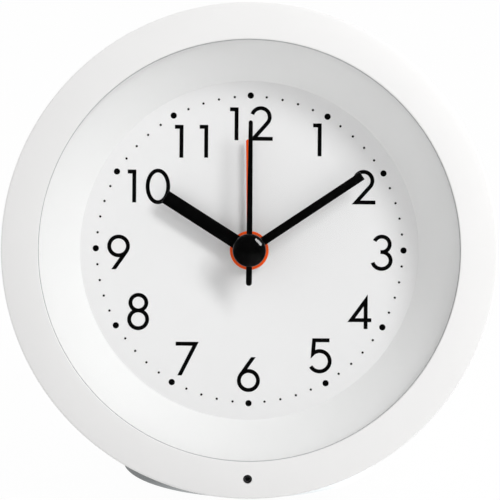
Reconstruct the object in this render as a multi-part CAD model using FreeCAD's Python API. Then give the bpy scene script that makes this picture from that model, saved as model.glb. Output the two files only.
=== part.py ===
import FreeCAD, Part
import math
import os

# Round analogue table alarm clock with a quartz movement, in millimetres.
#
# The clock is laid out in the face frame: x to the right, y up the dial, z out of the dial
# towards the reader, with z = 0 at the front of the bezel's lip and the hand axis at x = y = 0.
# The finished pieces are then leaned back and stood on the foot. In the part's own frame +Z is
# up, the face looks along -Y, and the origin is the centre of the foot's underside.

Vec = FreeCAD.Vector

# Stance
FACE_TILT = 12.0                # degrees that the face leans back
FOOT_SETBACK = 29.8             # foot centre behind the face centre
CASE_SEAT = 2.772               # lowest part of the case over the pad, above the table

# Fits
FIT = 0.1                       # gap round a piece that is fixed in its seat
RUN = 0.05                      # radial clearance of a running shaft
SLIDE_GAP = 0.25                # gap round a button or slider

# Front bezel and lens
BEZEL_RADIUS = 50.0
BEZEL_DEPTH = 9.0
BEZEL_FALL = 1.6                # how far the front slopes back towards its edge
BEZEL_SLOPE = 22.0              # slope at the start of the rounded edge, in degrees
BEZEL_EDGE = 2.7                # radius of the rounded outer edge
BEZEL_WALL = 2.0
BEZEL_FACE = 7.94               # from the bezel's edge in to its lip
LIP_THICKNESS = 0.7
LENS_OVERLAP = 1.34             # how far the lens reaches behind the lip
LENS_THICKNESS = 1.5
COLLAR_WALL = 0.8
COLLAR_REACH = 2.8              # collar behind the lens, round the reflector's flange

# Reflector and dial
REFLECTOR_DEPTH = 8.8
REFLECTOR_WALL = 1.2
REFLECTOR_STEP = 0.35           # reflector mouth outside the lip
DIAL_RADIUS = 34.4              # visible radius, at the reflector's foot
DIAL_MARGIN = 1.8               # dial hidden under the reflector
DIAL_THICKNESS = 0.6

# Light sensor under the 6
SENSOR_INSET = 4.4              # in from the bezel's edge
SENSOR_RADIUS = 0.75
SENSOR_SINK = 0.15              # window below the bezel's surface
SENSOR_BODY_RADIUS = 1.15
SENSOR_BODY_LENGTH = 3.0

# Rear case
CASE_STEP = 0.8                 # bezel proud of the case
CASE_REAR_RADIUS = 40.0
CASE_DEPTH = 50.0               # rear face behind the bezel's lip
CASE_WALL = 2.0
CASE_EDGE = 5.0                 # rounding of the rear edge
SPIGOT_WALL = 1.5
SPIGOT_REACH = 3.6

# Chassis
CHASSIS_THICKNESS = 1.8
CHASSIS_GAP = 0.7               # chassis edge to case wall
POST_RADIUS = 3.4
POST_GAP = 1.1                  # post to the movement's side
POST_UP = 12.0                  # side posts above the hand axis
POST_ACROSS = 14.0              # lower posts to each side of it
POST_BOSS = 6.0                 # length of the chassis bosses
POST_FLOOR = 3.0                # web under each case screw's head
SCREW_WELL_RADIUS = 2.35
CASE_SCREW_RADIUS = 1.2
CASE_SCREW_HEAD = 2.1
CASE_SCREW_HEAD_HEIGHT = 1.6
CASE_SCREW_LENGTH = 7.5
THREAD_GAP = 0.05               # screw thread to its hole

# Hands
HAND_THICKNESS = 0.5
HAND_PITCH = 1.3                # from one hand's plane to the next
FIRST_HAND = 0.8                # alarm hand above the dial
HUB_EXTRA = 0.1                 # hub proud of the blade
HOUR_ANGLE = 302.2              # clockwise from 12
HOUR_LENGTH = 20.2
HOUR_WIDTH = 2.6
HOUR_HUB = 3.0
MINUTE_ANGLE = 56.1
MINUTE_LENGTH = 27.35
MINUTE_WIDTH = 1.66
MINUTE_HUB = 2.6
SECOND_ANGLE = 0.0
SECOND_LENGTH = 26.2
SECOND_TAIL = 7.05
SECOND_WIDTH = 1.0
SECOND_HUB = 2.0
ALARM_ANGLE = 358.6
ALARM_LENGTH = 22.5
ALARM_WIDTH = 1.12
ALARM_HUB = 3.94
ALARM_TIP = 0.3                 # chamfer of the alarm hand's tip
CAP_RADIUS = 3.28
CAP_SKIRT = 0.6
CAP_RISE = 1.5

# Arbor and tubes on the hand axis
ARBOR_RADIUS = 0.5
TUBE_WALL = 0.6
PIVOT_RADIUS = 0.3

# Movement, with depths counted back from the chassis
MOVEMENT_SIZE = 48.0
MOVEMENT_DEPTH = 16.0
FRONT_PLATE = 1.4
MIDDLE_PLATE = 0.8
REAR_PLATE = 1.2
SIDE_WALL = 1.2
MIDDLE_DEPTH = 7.2              # front of the middle plate
CORNER_POST = 1.9
WHEEL_THICKNESS = 0.8
PINION_EXTRA = 0.2              # pinion longer than its wheel's mate, at each end
ALARM_WHEEL_DEPTH = 2.0
HOUR_WHEEL_DEPTH = 3.8
MINUTE_WHEEL_DEPTH = 5.4
CENTRE_WHEEL_DEPTH = 8.6
THIRD_WHEEL_DEPTH = 10.2
SECONDS_WHEEL_DEPTH = 11.8
STEP_WHEEL_DEPTH = 13.3

# Gear teeth
PRESSURE_ANGLE = 20.0
BACKLASH = 0.16                 # share of the tooth's thickness
WHEEL_ADDENDUM = 0.45
PINION_ADDENDUM = 0.85
DEDENDUM = 1.2
ALARM_TEETH, ALARM_PINION_TEETH, ALARM_MODULE = 60, 15, 0.4
HOUR_TEETH, MINUTE_PINION_TEETH, HOUR_MODULE = 40, 10, 0.3
MINUTE_TEETH, CANNON_TEETH = 36, 12
SETTING_TEETH = 12
CENTRE_TEETH, THIRD_PINION_TEETH, CENTRE_MODULE = 64, 8, 0.2
THIRD_TEETH, SECONDS_PINION_TEETH = 60, 8
SECONDS_TEETH, STEP_PINION_TEETH, SECONDS_MODULE = 60, 10, 0.21
STEP_TEETH, ROTOR_TEETH, STEP_MODULE = 40, 8, 0.2

# Where the side arbors stand round the hand axis, in degrees counter-clockwise from x
MINUTE_BEARING = 150.0
ALARM_SETTING_BEARING = 30.0
THIRD_BEARING = 270.0
STEP_BEARING = -10.0
MINUTE_POST_RADIUS = 0.5
SHAFT_RADIUS = 1.0
SHAFT_PIVOT = 0.6
SHAFT_COLLAR = 1.5

# Step motor
MAGNET_RADIUS = 1.6
MAGNET_LENGTH = 1.6
AIR_GAP = 0.3
POLE_RADIUS = 3.7
STATOR_THICKNESS = 1.0
STATOR_DEPTH = 9.9
COIL_X = 18.6
CORE_WIDTH = 2.0
YOKE_X = 14.8
YOKE_WIDTH = 1.2
YOKE_TOP = 10.6
YOKE_BOTTOM = -14.6
YOKE_BAR = 1.4
BOBBIN_FLANGE = 3.0
BOBBIN_TUBE = 1.7
FLANGE_THICKNESS = 0.8
WINDING_RADIUS = 2.7

# Setting knobs, on the rear
KNOB_RADIUS = 5.5
KNOB_LENGTH = 6.0
KNOB_LIFT = 0.5                 # knob clear of the rear face
KNOB_GRIP = 3.6                 # shaft inside the knob
KNOB_FLUTES = 18
FLUTE_RADIUS = 0.55

# Battery and its bay, seen from the front
BATTERY_RADIUS = 7.25
BATTERY_BODY = 49.5
BATTERY_NUB_RADIUS = 2.75
BATTERY_NUB = 1.0
BATTERY_SHIFT = 1.5             # battery centre right of the hand axis
BAY_Y = -12.0
BAY_HALF_LENGTH = 28.5
BAY_CLEARANCE = 0.95            # side wall to battery
BAY_WALL = 1.2
BAY_FLOOR_GAP = 0.2
COVER_THICKNESS = 2.0
CONTACT_THICKNESS = 0.5
CONTACT_SIZE = 9.0
CONTACT_TAB = 1.6
SPRING_WIRE = 0.35

# Snooze and light button, on top
BUTTON_HALF_WIDTH = 13.0
BUTTON_Z = -30.0
BUTTON_HALF_DEPTH = 8.0
BUTTON_PROUD = 1.9
BUTTON_WALL = 1.6
BUTTON_FLANGE = 1.3
BUTTON_FLANGE_THICKNESS = 1.2
BUTTON_TRAVEL = 0.9
BUTTON_ROUND = 0.8
SHELF_DROP = 10.5               # shelf under the button, below the case's outer surface
SHELF_THICKNESS = 1.5
SHELF_FRONT = -21.5
SWITCH_SIZE = 6.0
SWITCH_HEIGHT = 3.5
PLUNGER_RADIUS = 1.7
PLUNGER_HEIGHT = 0.8
FLANGE_ABOVE_SHELF = 2.2
SPRING_X = 8.5
SPRING_RADIUS = 2.0
SPRING_TURNS = 5
SEAT_RADIUS = 2.7
SEAT_ABOVE_SHELF = 8.6

# Alarm switch, on the rear between the knobs
SLIDER_Y = 7.5
SLIDER_TRAVEL = 3.0
SLIDER_LENGTH = 4.4
SLIDER_WIDTH = 3.2
SLIDER_PROUD = 0.8
SLIDER_RECESS = 1.0
SLIDER_STEM = 1.6
STEM_REACH = 1.0                # stem inside the switch body
SWITCH_BODY = (10.0, 5.2, 4.0)

# Boards and electrics
BOARD_THICKNESS = 1.2
BOARD_GAP = 2.6                 # main board behind the movement
BOARD_X = 20.0
BOARD_BOTTOM = 11.5
BOARD_TO_SHELF = 1.0
STANDOFF_RADIUS = 1.6
STANDOFF_PLACES = [(-17.0, 22.0), (17.0, 22.0), (-17.0, 14.0), (17.0, 14.0)]
BOARD_SCREW_RADIUS = 0.8
BOARD_SCREW_HEAD = 1.5
BOARD_SCREW_HEAD_HEIGHT = 1.0
CHIP_SIZE = 7.0
CHIP_THICKNESS = 1.3
CHIP_PLACE = (-8.5, 24.0)
CAPACITOR_RADIUS = 2.4
CAPACITOR_LENGTH = 6.0
CAPACITOR_PLACES = [(9.5, 17.5), (9.5, 25.5)]
BUZZER_RADIUS = 7.5
BUZZER_HEIGHT = 5.0
BUZZER_Y = 22.0
SOUND_SLOTS = 5
SLOT_PITCH = 2.2
SLOT_WIDTH = 1.0
WIRE_RADIUS = 0.45
WIRE_SPACING = 2.2
LAMP_RADIUS = 1.5
LAMP_LENGTH = 3.0
LAMP_GAP = 1.2                  # lamp to the outside of the reflector
LAMP_BEARINGS = (90.0, 210.0, 330.0)
MOVEMENT_BOARD_X = (-18.5, -7.5)
MOVEMENT_BOARD_Y = (-21.0, -5.0)
MOVEMENT_BOARD_DEPTH = 12.6
MOVEMENT_BOARD_THICKNESS = 0.8
CRYSTAL_FROM_EDGE = 4.0
CHIP_FROM_EDGE = 5.5
LEAF_X = (-14.5, -13.0)         # alarm contact, beside the hour wheel
LEAF_FOOT_Y = (-19.0, -15.0)
LEAF_FOOT_EXTRA = 0.8
LEAF_END = -4.0
LEAF_THICKNESS = 0.3
WIRE_BEND = 3.0                 # largest bend of a wire
BATTERY_LEAD = 3.0              # straight wire above the battery's tabs
BATTERY_LEAD_RISE = 7.0
BOARD_LEAD_INSET = 2.0          # wire in from the board's end
SENSOR_LEAD = 2.0
SENSOR_LEAD_END = 3.0
CRYSTAL_RADIUS = 1.0
CRYSTAL_LENGTH = 6.0
GLOB_RADIUS = 2.6
GLOB_HEIGHT = 1.0

# Foot
FOOT_RADIUS = 26.7
FOOT_RIM = 2.9                  # height of the upright rim
FOOT_CROWN_RADIUS = 15.0
FOOT_CROWN = 9.0                # height of the middle of the foot
FOOT_EDGE = 0.7
FOOT_LIFT = 0.5                 # hard plastic above the table
PAD_THICKNESS = 1.4
PAD_RADIUS = 25.2
FOOT_SCREW_X = 9.0
FOOT_SCREW_RADIUS = 1.1
FOOT_SCREW_HEAD = 2.1
FOOT_SCREW_HEAD_HEIGHT = 1.0
FOOT_SCREW_LENGTH = 5.0
FOOT_BOSS_RADIUS = 2.6
FOOT_BOSS_TOP = 10.0

# Worked-out radii and heights
POST_REACH = MOVEMENT_SIZE / 2 + POST_GAP + POST_RADIUS
SIDE_POSTS = [(POST_REACH, POST_UP), (-POST_REACH, POST_UP)]
POST_PLACES = SIDE_POSTS + [(POST_ACROSS, -POST_REACH), (-POST_ACROSS, -POST_REACH)]
LIP_RADIUS = BEZEL_RADIUS - BEZEL_FACE
EDGE_START = BEZEL_RADIUS - BEZEL_EDGE * (1 - math.sin(math.radians(BEZEL_SLOPE)))
EDGE_DROP = BEZEL_EDGE * math.cos(math.radians(BEZEL_SLOPE))
SENSOR_PLACE = BEZEL_RADIUS - SENSOR_INSET
CASE_FRONT_RADIUS = BEZEL_RADIUS - CASE_STEP
CASE_TAPER = (CASE_FRONT_RADIUS - CASE_REAR_RADIUS) / (CASE_DEPTH - BEZEL_DEPTH)
TILT_COS = math.cos(math.radians(FACE_TILT))
TILT_SIN = math.sin(math.radians(FACE_TILT))
CASE_TIP_RADIUS = CASE_FRONT_RADIUS + CASE_TAPER * BEZEL_DEPTH


def case_drop(depth):
    """How far below the hand axis's front end the case's underside is, at a depth."""
    return (CASE_TIP_RADIUS - CASE_TAPER * depth) * TILT_COS + depth * TILT_SIN


# Depth of the case's underside over the front of the pad, and the height that it sets
PAD_FRONT = FOOT_SETBACK - PAD_RADIUS
SEAT_DEPTH = (PAD_FRONT + CASE_TIP_RADIUS * TILT_SIN) / (TILT_COS + CASE_TAPER * TILT_SIN)
FACE_HEIGHT = CASE_SEAT + max(case_drop(SEAT_DEPTH), case_drop(CASE_DEPTH))

# Worked-out places on the z axis of the face frame
LENS_RADIUS = LIP_RADIUS + LENS_OVERLAP
LENS_FRONT = -LIP_THICKNESS
LENS_BACK = LENS_FRONT - LENS_THICKNESS
DIAL_FRONT = LENS_BACK - REFLECTOR_DEPTH
DIAL_BACK = DIAL_FRONT - DIAL_THICKNESS
CHASSIS_BACK = DIAL_BACK - CHASSIS_THICKNESS
MOVEMENT_BACK = CHASSIS_BACK - MOVEMENT_DEPTH
REAR = -CASE_DEPTH
REAR_INSIDE = REAR + CASE_WALL
ALARM_HAND_Z = DIAL_FRONT + FIRST_HAND
HOUR_HAND_Z = ALARM_HAND_Z + HAND_PITCH
MINUTE_HAND_Z = HOUR_HAND_Z + HAND_PITCH
SECOND_HAND_Z = MINUTE_HAND_Z + HAND_PITCH
MINUTE_TUBE_BORE = ARBOR_RADIUS + RUN
MINUTE_TUBE = MINUTE_TUBE_BORE + TUBE_WALL
HOUR_TUBE_BORE = MINUTE_TUBE + RUN
HOUR_TUBE = HOUR_TUBE_BORE + TUBE_WALL
ALARM_TUBE_BORE = HOUR_TUBE + RUN
ALARM_TUBE = ALARM_TUBE_BORE + TUBE_WALL
BOARD_FRONT = MOVEMENT_BACK - BOARD_GAP
BOARD_BACK = BOARD_FRONT - BOARD_THICKNESS

# Centre distances, and the modules that two coaxial pairs share with them
HOUR_DISTANCE = HOUR_MODULE * (HOUR_TEETH + MINUTE_PINION_TEETH) / 2
MINUTE_MODULE = 2 * HOUR_DISTANCE / (MINUTE_TEETH + CANNON_TEETH)
SETTING_DISTANCE = MINUTE_MODULE * (MINUTE_TEETH + SETTING_TEETH) / 2
ALARM_DISTANCE = ALARM_MODULE * (ALARM_TEETH + ALARM_PINION_TEETH) / 2
CENTRE_DISTANCE = CENTRE_MODULE * (CENTRE_TEETH + THIRD_PINION_TEETH) / 2
THIRD_MODULE = 2 * CENTRE_DISTANCE / (THIRD_TEETH + SECONDS_PINION_TEETH)
SECONDS_DISTANCE = SECONDS_MODULE * (SECONDS_TEETH + STEP_PINION_TEETH) / 2
STEP_DISTANCE = STEP_MODULE * (STEP_TEETH + ROTOR_TEETH) / 2


def polar(distance, bearing):
    """The point at a distance and a bearing in degrees from the hand axis."""
    angle = math.radians(bearing)
    return distance * math.cos(angle), distance * math.sin(angle)


AXIS = (0.0, 0.0)
MINUTE_ARBOR = polar(HOUR_DISTANCE, MINUTE_BEARING)
TIME_SHAFT = polar(HOUR_DISTANCE + SETTING_DISTANCE, MINUTE_BEARING)
ALARM_SHAFT = polar(ALARM_DISTANCE, ALARM_SETTING_BEARING)
THIRD_ARBOR = polar(CENTRE_DISTANCE, THIRD_BEARING)
STEP_ARBOR = polar(SECONDS_DISTANCE, STEP_BEARING)
ROTOR_ARBOR = polar(SECONDS_DISTANCE + STEP_DISTANCE, STEP_BEARING)
CORNER = MOVEMENT_SIZE / 2 - SIDE_WALL - FIT - CORNER_POST
CORNERS = [(x, y) for x in (CORNER, -CORNER) for y in (CORNER, -CORNER)]
MOVEMENT_SCREW_PLACES = [(CORNER, -CORNER), (-CORNER, CORNER)]
MOVEMENT_SCREW_RADIUS = 0.9
MOVEMENT_SCREW_HEAD = 1.8
MOVEMENT_SCREW_HEAD_HEIGHT = 1.0


def inside_movement(depth):
    """The face-frame z of a depth in the movement, counted back from the chassis."""
    return CHASSIS_BACK - depth


# Shapes in the face frame

def rod(place, z_low, z_high, radius):
    """A round bar along z."""
    return Part.makeCylinder(radius, z_high - z_low, Vec(place[0], place[1], z_low))


def pipe(place, z_low, z_high, radius, bore):
    """A round tube along z."""
    return rod(place, z_low, z_high, radius).cut(rod(place, z_low, z_high, bore))


def domed_rod(place, base, shoulder, radius, rise):
    """A round bar from its base to its shoulder, with a spherical dome on top."""
    ball_radius = (radius ** 2 + rise ** 2) / (2 * rise)
    top = shoulder + rise
    ball = Part.makeSphere(ball_radius, Vec(place[0], place[1], top - ball_radius))
    return rod(place, base, top, radius).common(ball)


def block(x_range, y_range, z_range):
    """A box between two values on each axis."""
    size = [high - low for low, high in (x_range, y_range, z_range)]
    return Part.makeBox(*size, Vec(x_range[0], y_range[0], z_range[0]))


def around(centre, half):
    """The range that reaches half to each side of a centre."""
    return centre - half, centre + half


def turned(points, corner_arcs=()):
    """Turn a closed profile of (radius, z) points about the hand axis.

    corner_arcs names the points, by number, that are the middle point of an arc.
    """
    at = [Vec(r, 0, z) for r, z in points]
    edges = []
    i = 0
    while i < len(at):
        following = (i + 1) % len(at)
        if following in corner_arcs:
            end = (i + 2) % len(at)
            edges.append(Part.Arc(at[i], at[following], at[end]).toShape())
            i += 2
        else:
            edges.append(Part.LineSegment(at[i], at[following]).toShape())
            i += 1
    face = Part.Face(Part.Wire(edges))
    return face.revolve(Vec(0, 0, 0), Vec(0, 0, 1), 360)


def joined(first, *others):
    """One solid made of several that touch or overlap."""
    return first.fuse(list(others)).removeSplitter()


def case_radius(z, inset=0.0):
    """Outer radius of the rear case at a z, less an inset."""
    return CASE_TIP_RADIUS + CASE_TAPER * z - inset


def case_cone(inset, z_front, z_rear):
    """The tapering solid that lies an inset inside the case's outer surface."""
    length = z_front - z_rear
    start = Vec(0, 0, z_rear)
    return Part.makeCone(case_radius(z_rear, inset), case_radius(z_front, inset), length, start)


def rounded_case(inset, z_front, z_rear, rounding):
    """case_cone with its rear edge rounded."""
    cone = case_cone(inset, z_front, z_rear)
    rear_edges = [e for e in cone.Edges if e.BoundBox.ZMax < z_rear + 0.01 and len(e.Vertexes) == 1]
    return cone.makeFillet(rounding, rear_edges)


SHELF_Y = case_radius(BUTTON_Z) - SHELF_DROP
BOARD_Y = (BOARD_BOTTOM, SHELF_Y - SHELF_THICKNESS - BOARD_TO_SHELF)


# Gears

def involute(angle):
    return math.tan(angle) - angle


def tooth_half_angle(radius, pitch_radius, teeth):
    """Half the angle that a tooth takes up at a radius, with its backlash taken off."""
    base_radius = pitch_radius * math.cos(math.radians(PRESSURE_ANGLE))
    at_pitch = math.pi / (2 * teeth) * (1 - BACKLASH)
    inside = involute(math.radians(PRESSURE_ANGLE))
    if radius <= base_radius:
        return at_pitch + inside
    return at_pitch + inside - involute(math.acos(base_radius / radius))


def gear_wire(place, z, teeth, module, addendum, phase):
    """The outline of a spur gear, with a tooth centred on the phase angle in degrees."""
    pitch_radius = module * teeth / 2
    root = pitch_radius - DEDENDUM * module
    tip = pitch_radius + addendum * module
    flank = [root, pitch_radius, tip]
    points = []
    for k in range(teeth):
        middle = math.radians(phase) + 2 * math.pi * k / teeth
        sides = [(r, -1) for r in flank] + [(r, 1) for r in reversed(flank)]
        for r, side in sides:
            angle = middle + side * tooth_half_angle(r, pitch_radius, teeth)
            points.append(Vec(place[0] + r * math.cos(angle), place[1] + r * math.sin(angle), z))
    return Part.makePolygon(points + points[:1])


def gear(place, depth, thickness, teeth, module, addendum, phase, bore=0.0):
    """A spur gear whose front face is at a depth in the movement."""
    z_low = inside_movement(depth + thickness)
    wires = [gear_wire(place, z_low, teeth, module, addendum, phase)]
    solid = Part.Face(wires).extrude(Vec(0, 0, thickness))
    if bore:
        solid = solid.cut(rod(place, z_low - 1, z_low + thickness + 1, bore))
    return solid


def mesh_phase(first, first_place, first_teeth, second_place, second_teeth):
    """The phase that puts the second gear's gap on the first gear's tooth."""
    across = second_place[0] - first_place[0], second_place[1] - first_place[1]
    bearing = math.degrees(math.atan2(across[1], across[0]))
    return bearing + 180 + 180 / second_teeth - (first - bearing) * first_teeth / second_teeth


MINUTE_PHASE = mesh_phase(0.0, AXIS, CANNON_TEETH, MINUTE_ARBOR, MINUTE_TEETH)
SETTING_PHASE = mesh_phase(MINUTE_PHASE, MINUTE_ARBOR, MINUTE_TEETH, TIME_SHAFT, SETTING_TEETH)
HOUR_PHASE = mesh_phase(0.0, MINUTE_ARBOR, MINUTE_PINION_TEETH, AXIS, HOUR_TEETH)
ALARM_PINION_PHASE = mesh_phase(0.0, AXIS, ALARM_TEETH, ALARM_SHAFT, ALARM_PINION_TEETH)
STEP_PHASE = mesh_phase(0.0, ROTOR_ARBOR, ROTOR_TEETH, STEP_ARBOR, STEP_TEETH)
SECONDS_PHASE = mesh_phase(0.0, STEP_ARBOR, STEP_PINION_TEETH, AXIS, SECONDS_TEETH)
THIRD_PHASE = mesh_phase(0.0, AXIS, SECONDS_PINION_TEETH, THIRD_ARBOR, THIRD_TEETH)
CENTRE_PHASE = mesh_phase(0.0, THIRD_ARBOR, THIRD_PINION_TEETH, AXIS, CENTRE_TEETH)


def pinion(place, wheel_depth, teeth, module, phase, bore=0.0):
    """A pinion, a little longer than the wheel that it drives."""
    depth = wheel_depth - PINION_EXTRA
    length = WHEEL_THICKNESS + 2 * PINION_EXTRA
    return gear(place, depth, length, teeth, module, PINION_ADDENDUM, phase, bore)


def wheel(place, depth, teeth, module, phase, bore=0.0):
    return gear(place, depth, WHEEL_THICKNESS, teeth, module, WHEEL_ADDENDUM, phase, bore)


# Casing

def bezel_front(radius):
    """z of the bezel's sloping front at a radius."""
    return -BEZEL_FALL * ((radius - LIP_RADIUS) / (EDGE_START - LIP_RADIUS)) ** 1.5


def bezel_ceiling(radius):
    """z of the underside of the bezel's front, between the collar and the side wall."""
    inner = LENS_RADIUS + FIT + COLLAR_WALL
    outer = BEZEL_RADIUS - BEZEL_WALL
    inner_z = bezel_front(inner) - BEZEL_WALL
    outer_z = -BEZEL_FALL - BEZEL_WALL
    return inner_z + (radius - inner) / (outer - inner) * (outer_z - inner_z)


def make_front_bezel():
    middle = (LIP_RADIUS + EDGE_START) / 2
    bearing = math.radians((90 - BEZEL_SLOPE) / 2)
    edge_out = BEZEL_EDGE * (1 - math.cos(bearing))
    edge_up = BEZEL_EDGE * math.sin(bearing)
    collar_inner = LENS_RADIUS + FIT
    collar_outer = collar_inner + COLLAR_WALL
    collar_end = LENS_BACK - COLLAR_REACH
    wall_inner = BEZEL_RADIUS - BEZEL_WALL
    profile = [
        (LIP_RADIUS, 0.0),
        (middle, bezel_front(middle)),
        (EDGE_START, -BEZEL_FALL),
        (BEZEL_RADIUS - edge_out, -BEZEL_FALL - EDGE_DROP + edge_up),
        (BEZEL_RADIUS, -BEZEL_FALL - EDGE_DROP),
        (BEZEL_RADIUS, -BEZEL_DEPTH),
        (wall_inner, -BEZEL_DEPTH),
        (wall_inner, bezel_ceiling(wall_inner)),
        (collar_outer, bezel_ceiling(collar_outer)),
        (collar_outer, collar_end),
        (collar_inner, collar_end),
        (collar_inner, LENS_FRONT),
        (LIP_RADIUS, LENS_FRONT),
    ]
    ring = turned(profile, corner_arcs=(1, 3))
    surface = bezel_front(SENSOR_PLACE)
    place = (0.0, -SENSOR_PLACE)
    hole = rod(place, surface - 2 * BEZEL_WALL, 1.0, SENSOR_RADIUS + THREAD_GAP)
    return ring.cut(hole)


def sensor_top():
    """Front of the sensor body, just clear of the sloping ceiling above it."""
    return bezel_ceiling(SENSOR_PLACE + SENSOR_BODY_RADIUS) - THREAD_GAP


def make_sensor_window():
    front = bezel_front(SENSOR_PLACE) - SENSOR_SINK
    window = rod((0.0, -SENSOR_PLACE), sensor_top(), front, SENSOR_RADIUS)
    return window.makeFillet(0.12, [e for e in window.Edges if e.BoundBox.ZMin > front - 0.01])


def make_light_sensor():
    """The phototransistor behind its window."""
    top = sensor_top()
    place = (0.0, -SENSOR_PLACE)
    return rod(place, top - SENSOR_BODY_LENGTH, top, SENSOR_BODY_RADIUS)


def make_lens():
    return rod(AXIS, LENS_BACK, LENS_FRONT, LENS_RADIUS)


def reflector_slope():
    """The funnel's widening per millimetre of depth, and its wall's width measured level."""
    run = LIP_RADIUS + REFLECTOR_STEP - DIAL_RADIUS
    level_wall = REFLECTOR_WALL * math.hypot(run, REFLECTOR_DEPTH) / REFLECTOR_DEPTH
    return run / REFLECTOR_DEPTH, level_wall


def make_reflector():
    slope, level_wall = reflector_slope()
    flange_z = DIAL_FRONT + (LENS_RADIUS - DIAL_RADIUS - level_wall) / slope
    profile = [
        (LIP_RADIUS + REFLECTOR_STEP, LENS_BACK),
        (LENS_RADIUS, LENS_BACK),
        (LENS_RADIUS, flange_z),
        (DIAL_RADIUS + level_wall, DIAL_FRONT),
        (DIAL_RADIUS, DIAL_FRONT),
    ]
    return turned(profile)


def make_dial():
    return pipe(AXIS, DIAL_BACK, DIAL_FRONT, DIAL_RADIUS + DIAL_MARGIN, ALARM_TUBE + 2 * FIT)


def make_chassis():
    radius = case_radius(CHASSIS_BACK, CASE_WALL) - CHASSIS_GAP
    plate = rod(AXIS, CHASSIS_BACK, DIAL_BACK, radius)
    bosses = [rod(p, CHASSIS_BACK - POST_BOSS, DIAL_BACK, POST_RADIUS) for p in POST_PLACES]
    screw = CASE_SCREW_RADIUS + THREAD_GAP
    cuts = [rod(p, CHASSIS_BACK - POST_BOSS, CHASSIS_BACK, screw) for p in POST_PLACES]
    cuts.append(rod(AXIS, CHASSIS_BACK, DIAL_BACK, ALARM_TUBE + 2 * FIT))
    screw = MOVEMENT_SCREW_RADIUS + THREAD_GAP
    cuts += [rod(p, CHASSIS_BACK, DIAL_BACK, screw) for p in MOVEMENT_SCREW_PLACES]
    notch_half = WIRE_SPACING / 2 + 2 * WIRE_RADIUS
    notch = block(around(0.0, notch_half), (-radius - 1, -radius + 2.4), (CHASSIS_BACK, DIAL_BACK))
    return joined(plate, *bosses).cut(cuts + [notch])


POST_JOIN = CHASSIS_BACK - POST_BOSS
WELL_FLOOR = POST_JOIN - POST_FLOOR
BAY_HALF_WIDTH = BATTERY_RADIUS + BAY_CLEARANCE
BATTERY_Z = REAR_INSIDE + BATTERY_RADIUS + FIT
BAY_FLOOR = BATTERY_Z + BATTERY_RADIUS + BAY_FLOOR_GAP
BAY_X = around(0.0, BAY_HALF_LENGTH)
BAY_SPAN_Y = around(BAY_Y, BAY_HALF_WIDTH)
TAB_SLOT_Z = around(BATTERY_Z, CONTACT_TAB)


def grown(span, amount):
    return span[0] - amount, span[1] + amount


def button_box(half_width, half_depth, y_range):
    return block(around(0.0, half_width), y_range, around(BUTTON_Z, half_depth))


def slider_cuts():
    """The recess and the slot that the alarm slider runs in."""
    length = SLIDER_LENGTH / 2 + SLIDER_TRAVEL / 2 + SLIDE_GAP
    width = SLIDER_WIDTH / 2 + SLIDE_GAP
    recess = block(around(0, length), around(SLIDER_Y, width), (REAR - 1, REAR + SLIDER_RECESS))
    slot_length = SLIDER_STEM / 2 + SLIDER_TRAVEL / 2 + SLIDE_GAP
    slot_width = SLIDER_STEM / 2 + SLIDE_GAP
    slot = block(around(0, slot_length), around(SLIDER_Y, slot_width), (REAR - 1, REAR_INSIDE + 1))
    return [recess, slot]


def sound_slots():
    slots = []
    for k in range(SOUND_SLOTS):
        offset = (k - (SOUND_SLOTS - 1) / 2) * SLOT_PITCH
        reach = math.sqrt((BUZZER_RADIUS - 1.5) ** 2 - offset ** 2)
        y_range = around(BUZZER_Y + offset, SLOT_WIDTH / 2)
        slots.append(block(around(0, reach), y_range, (REAR - 1, REAR_INSIDE + 0.01)))
    return slots


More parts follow.
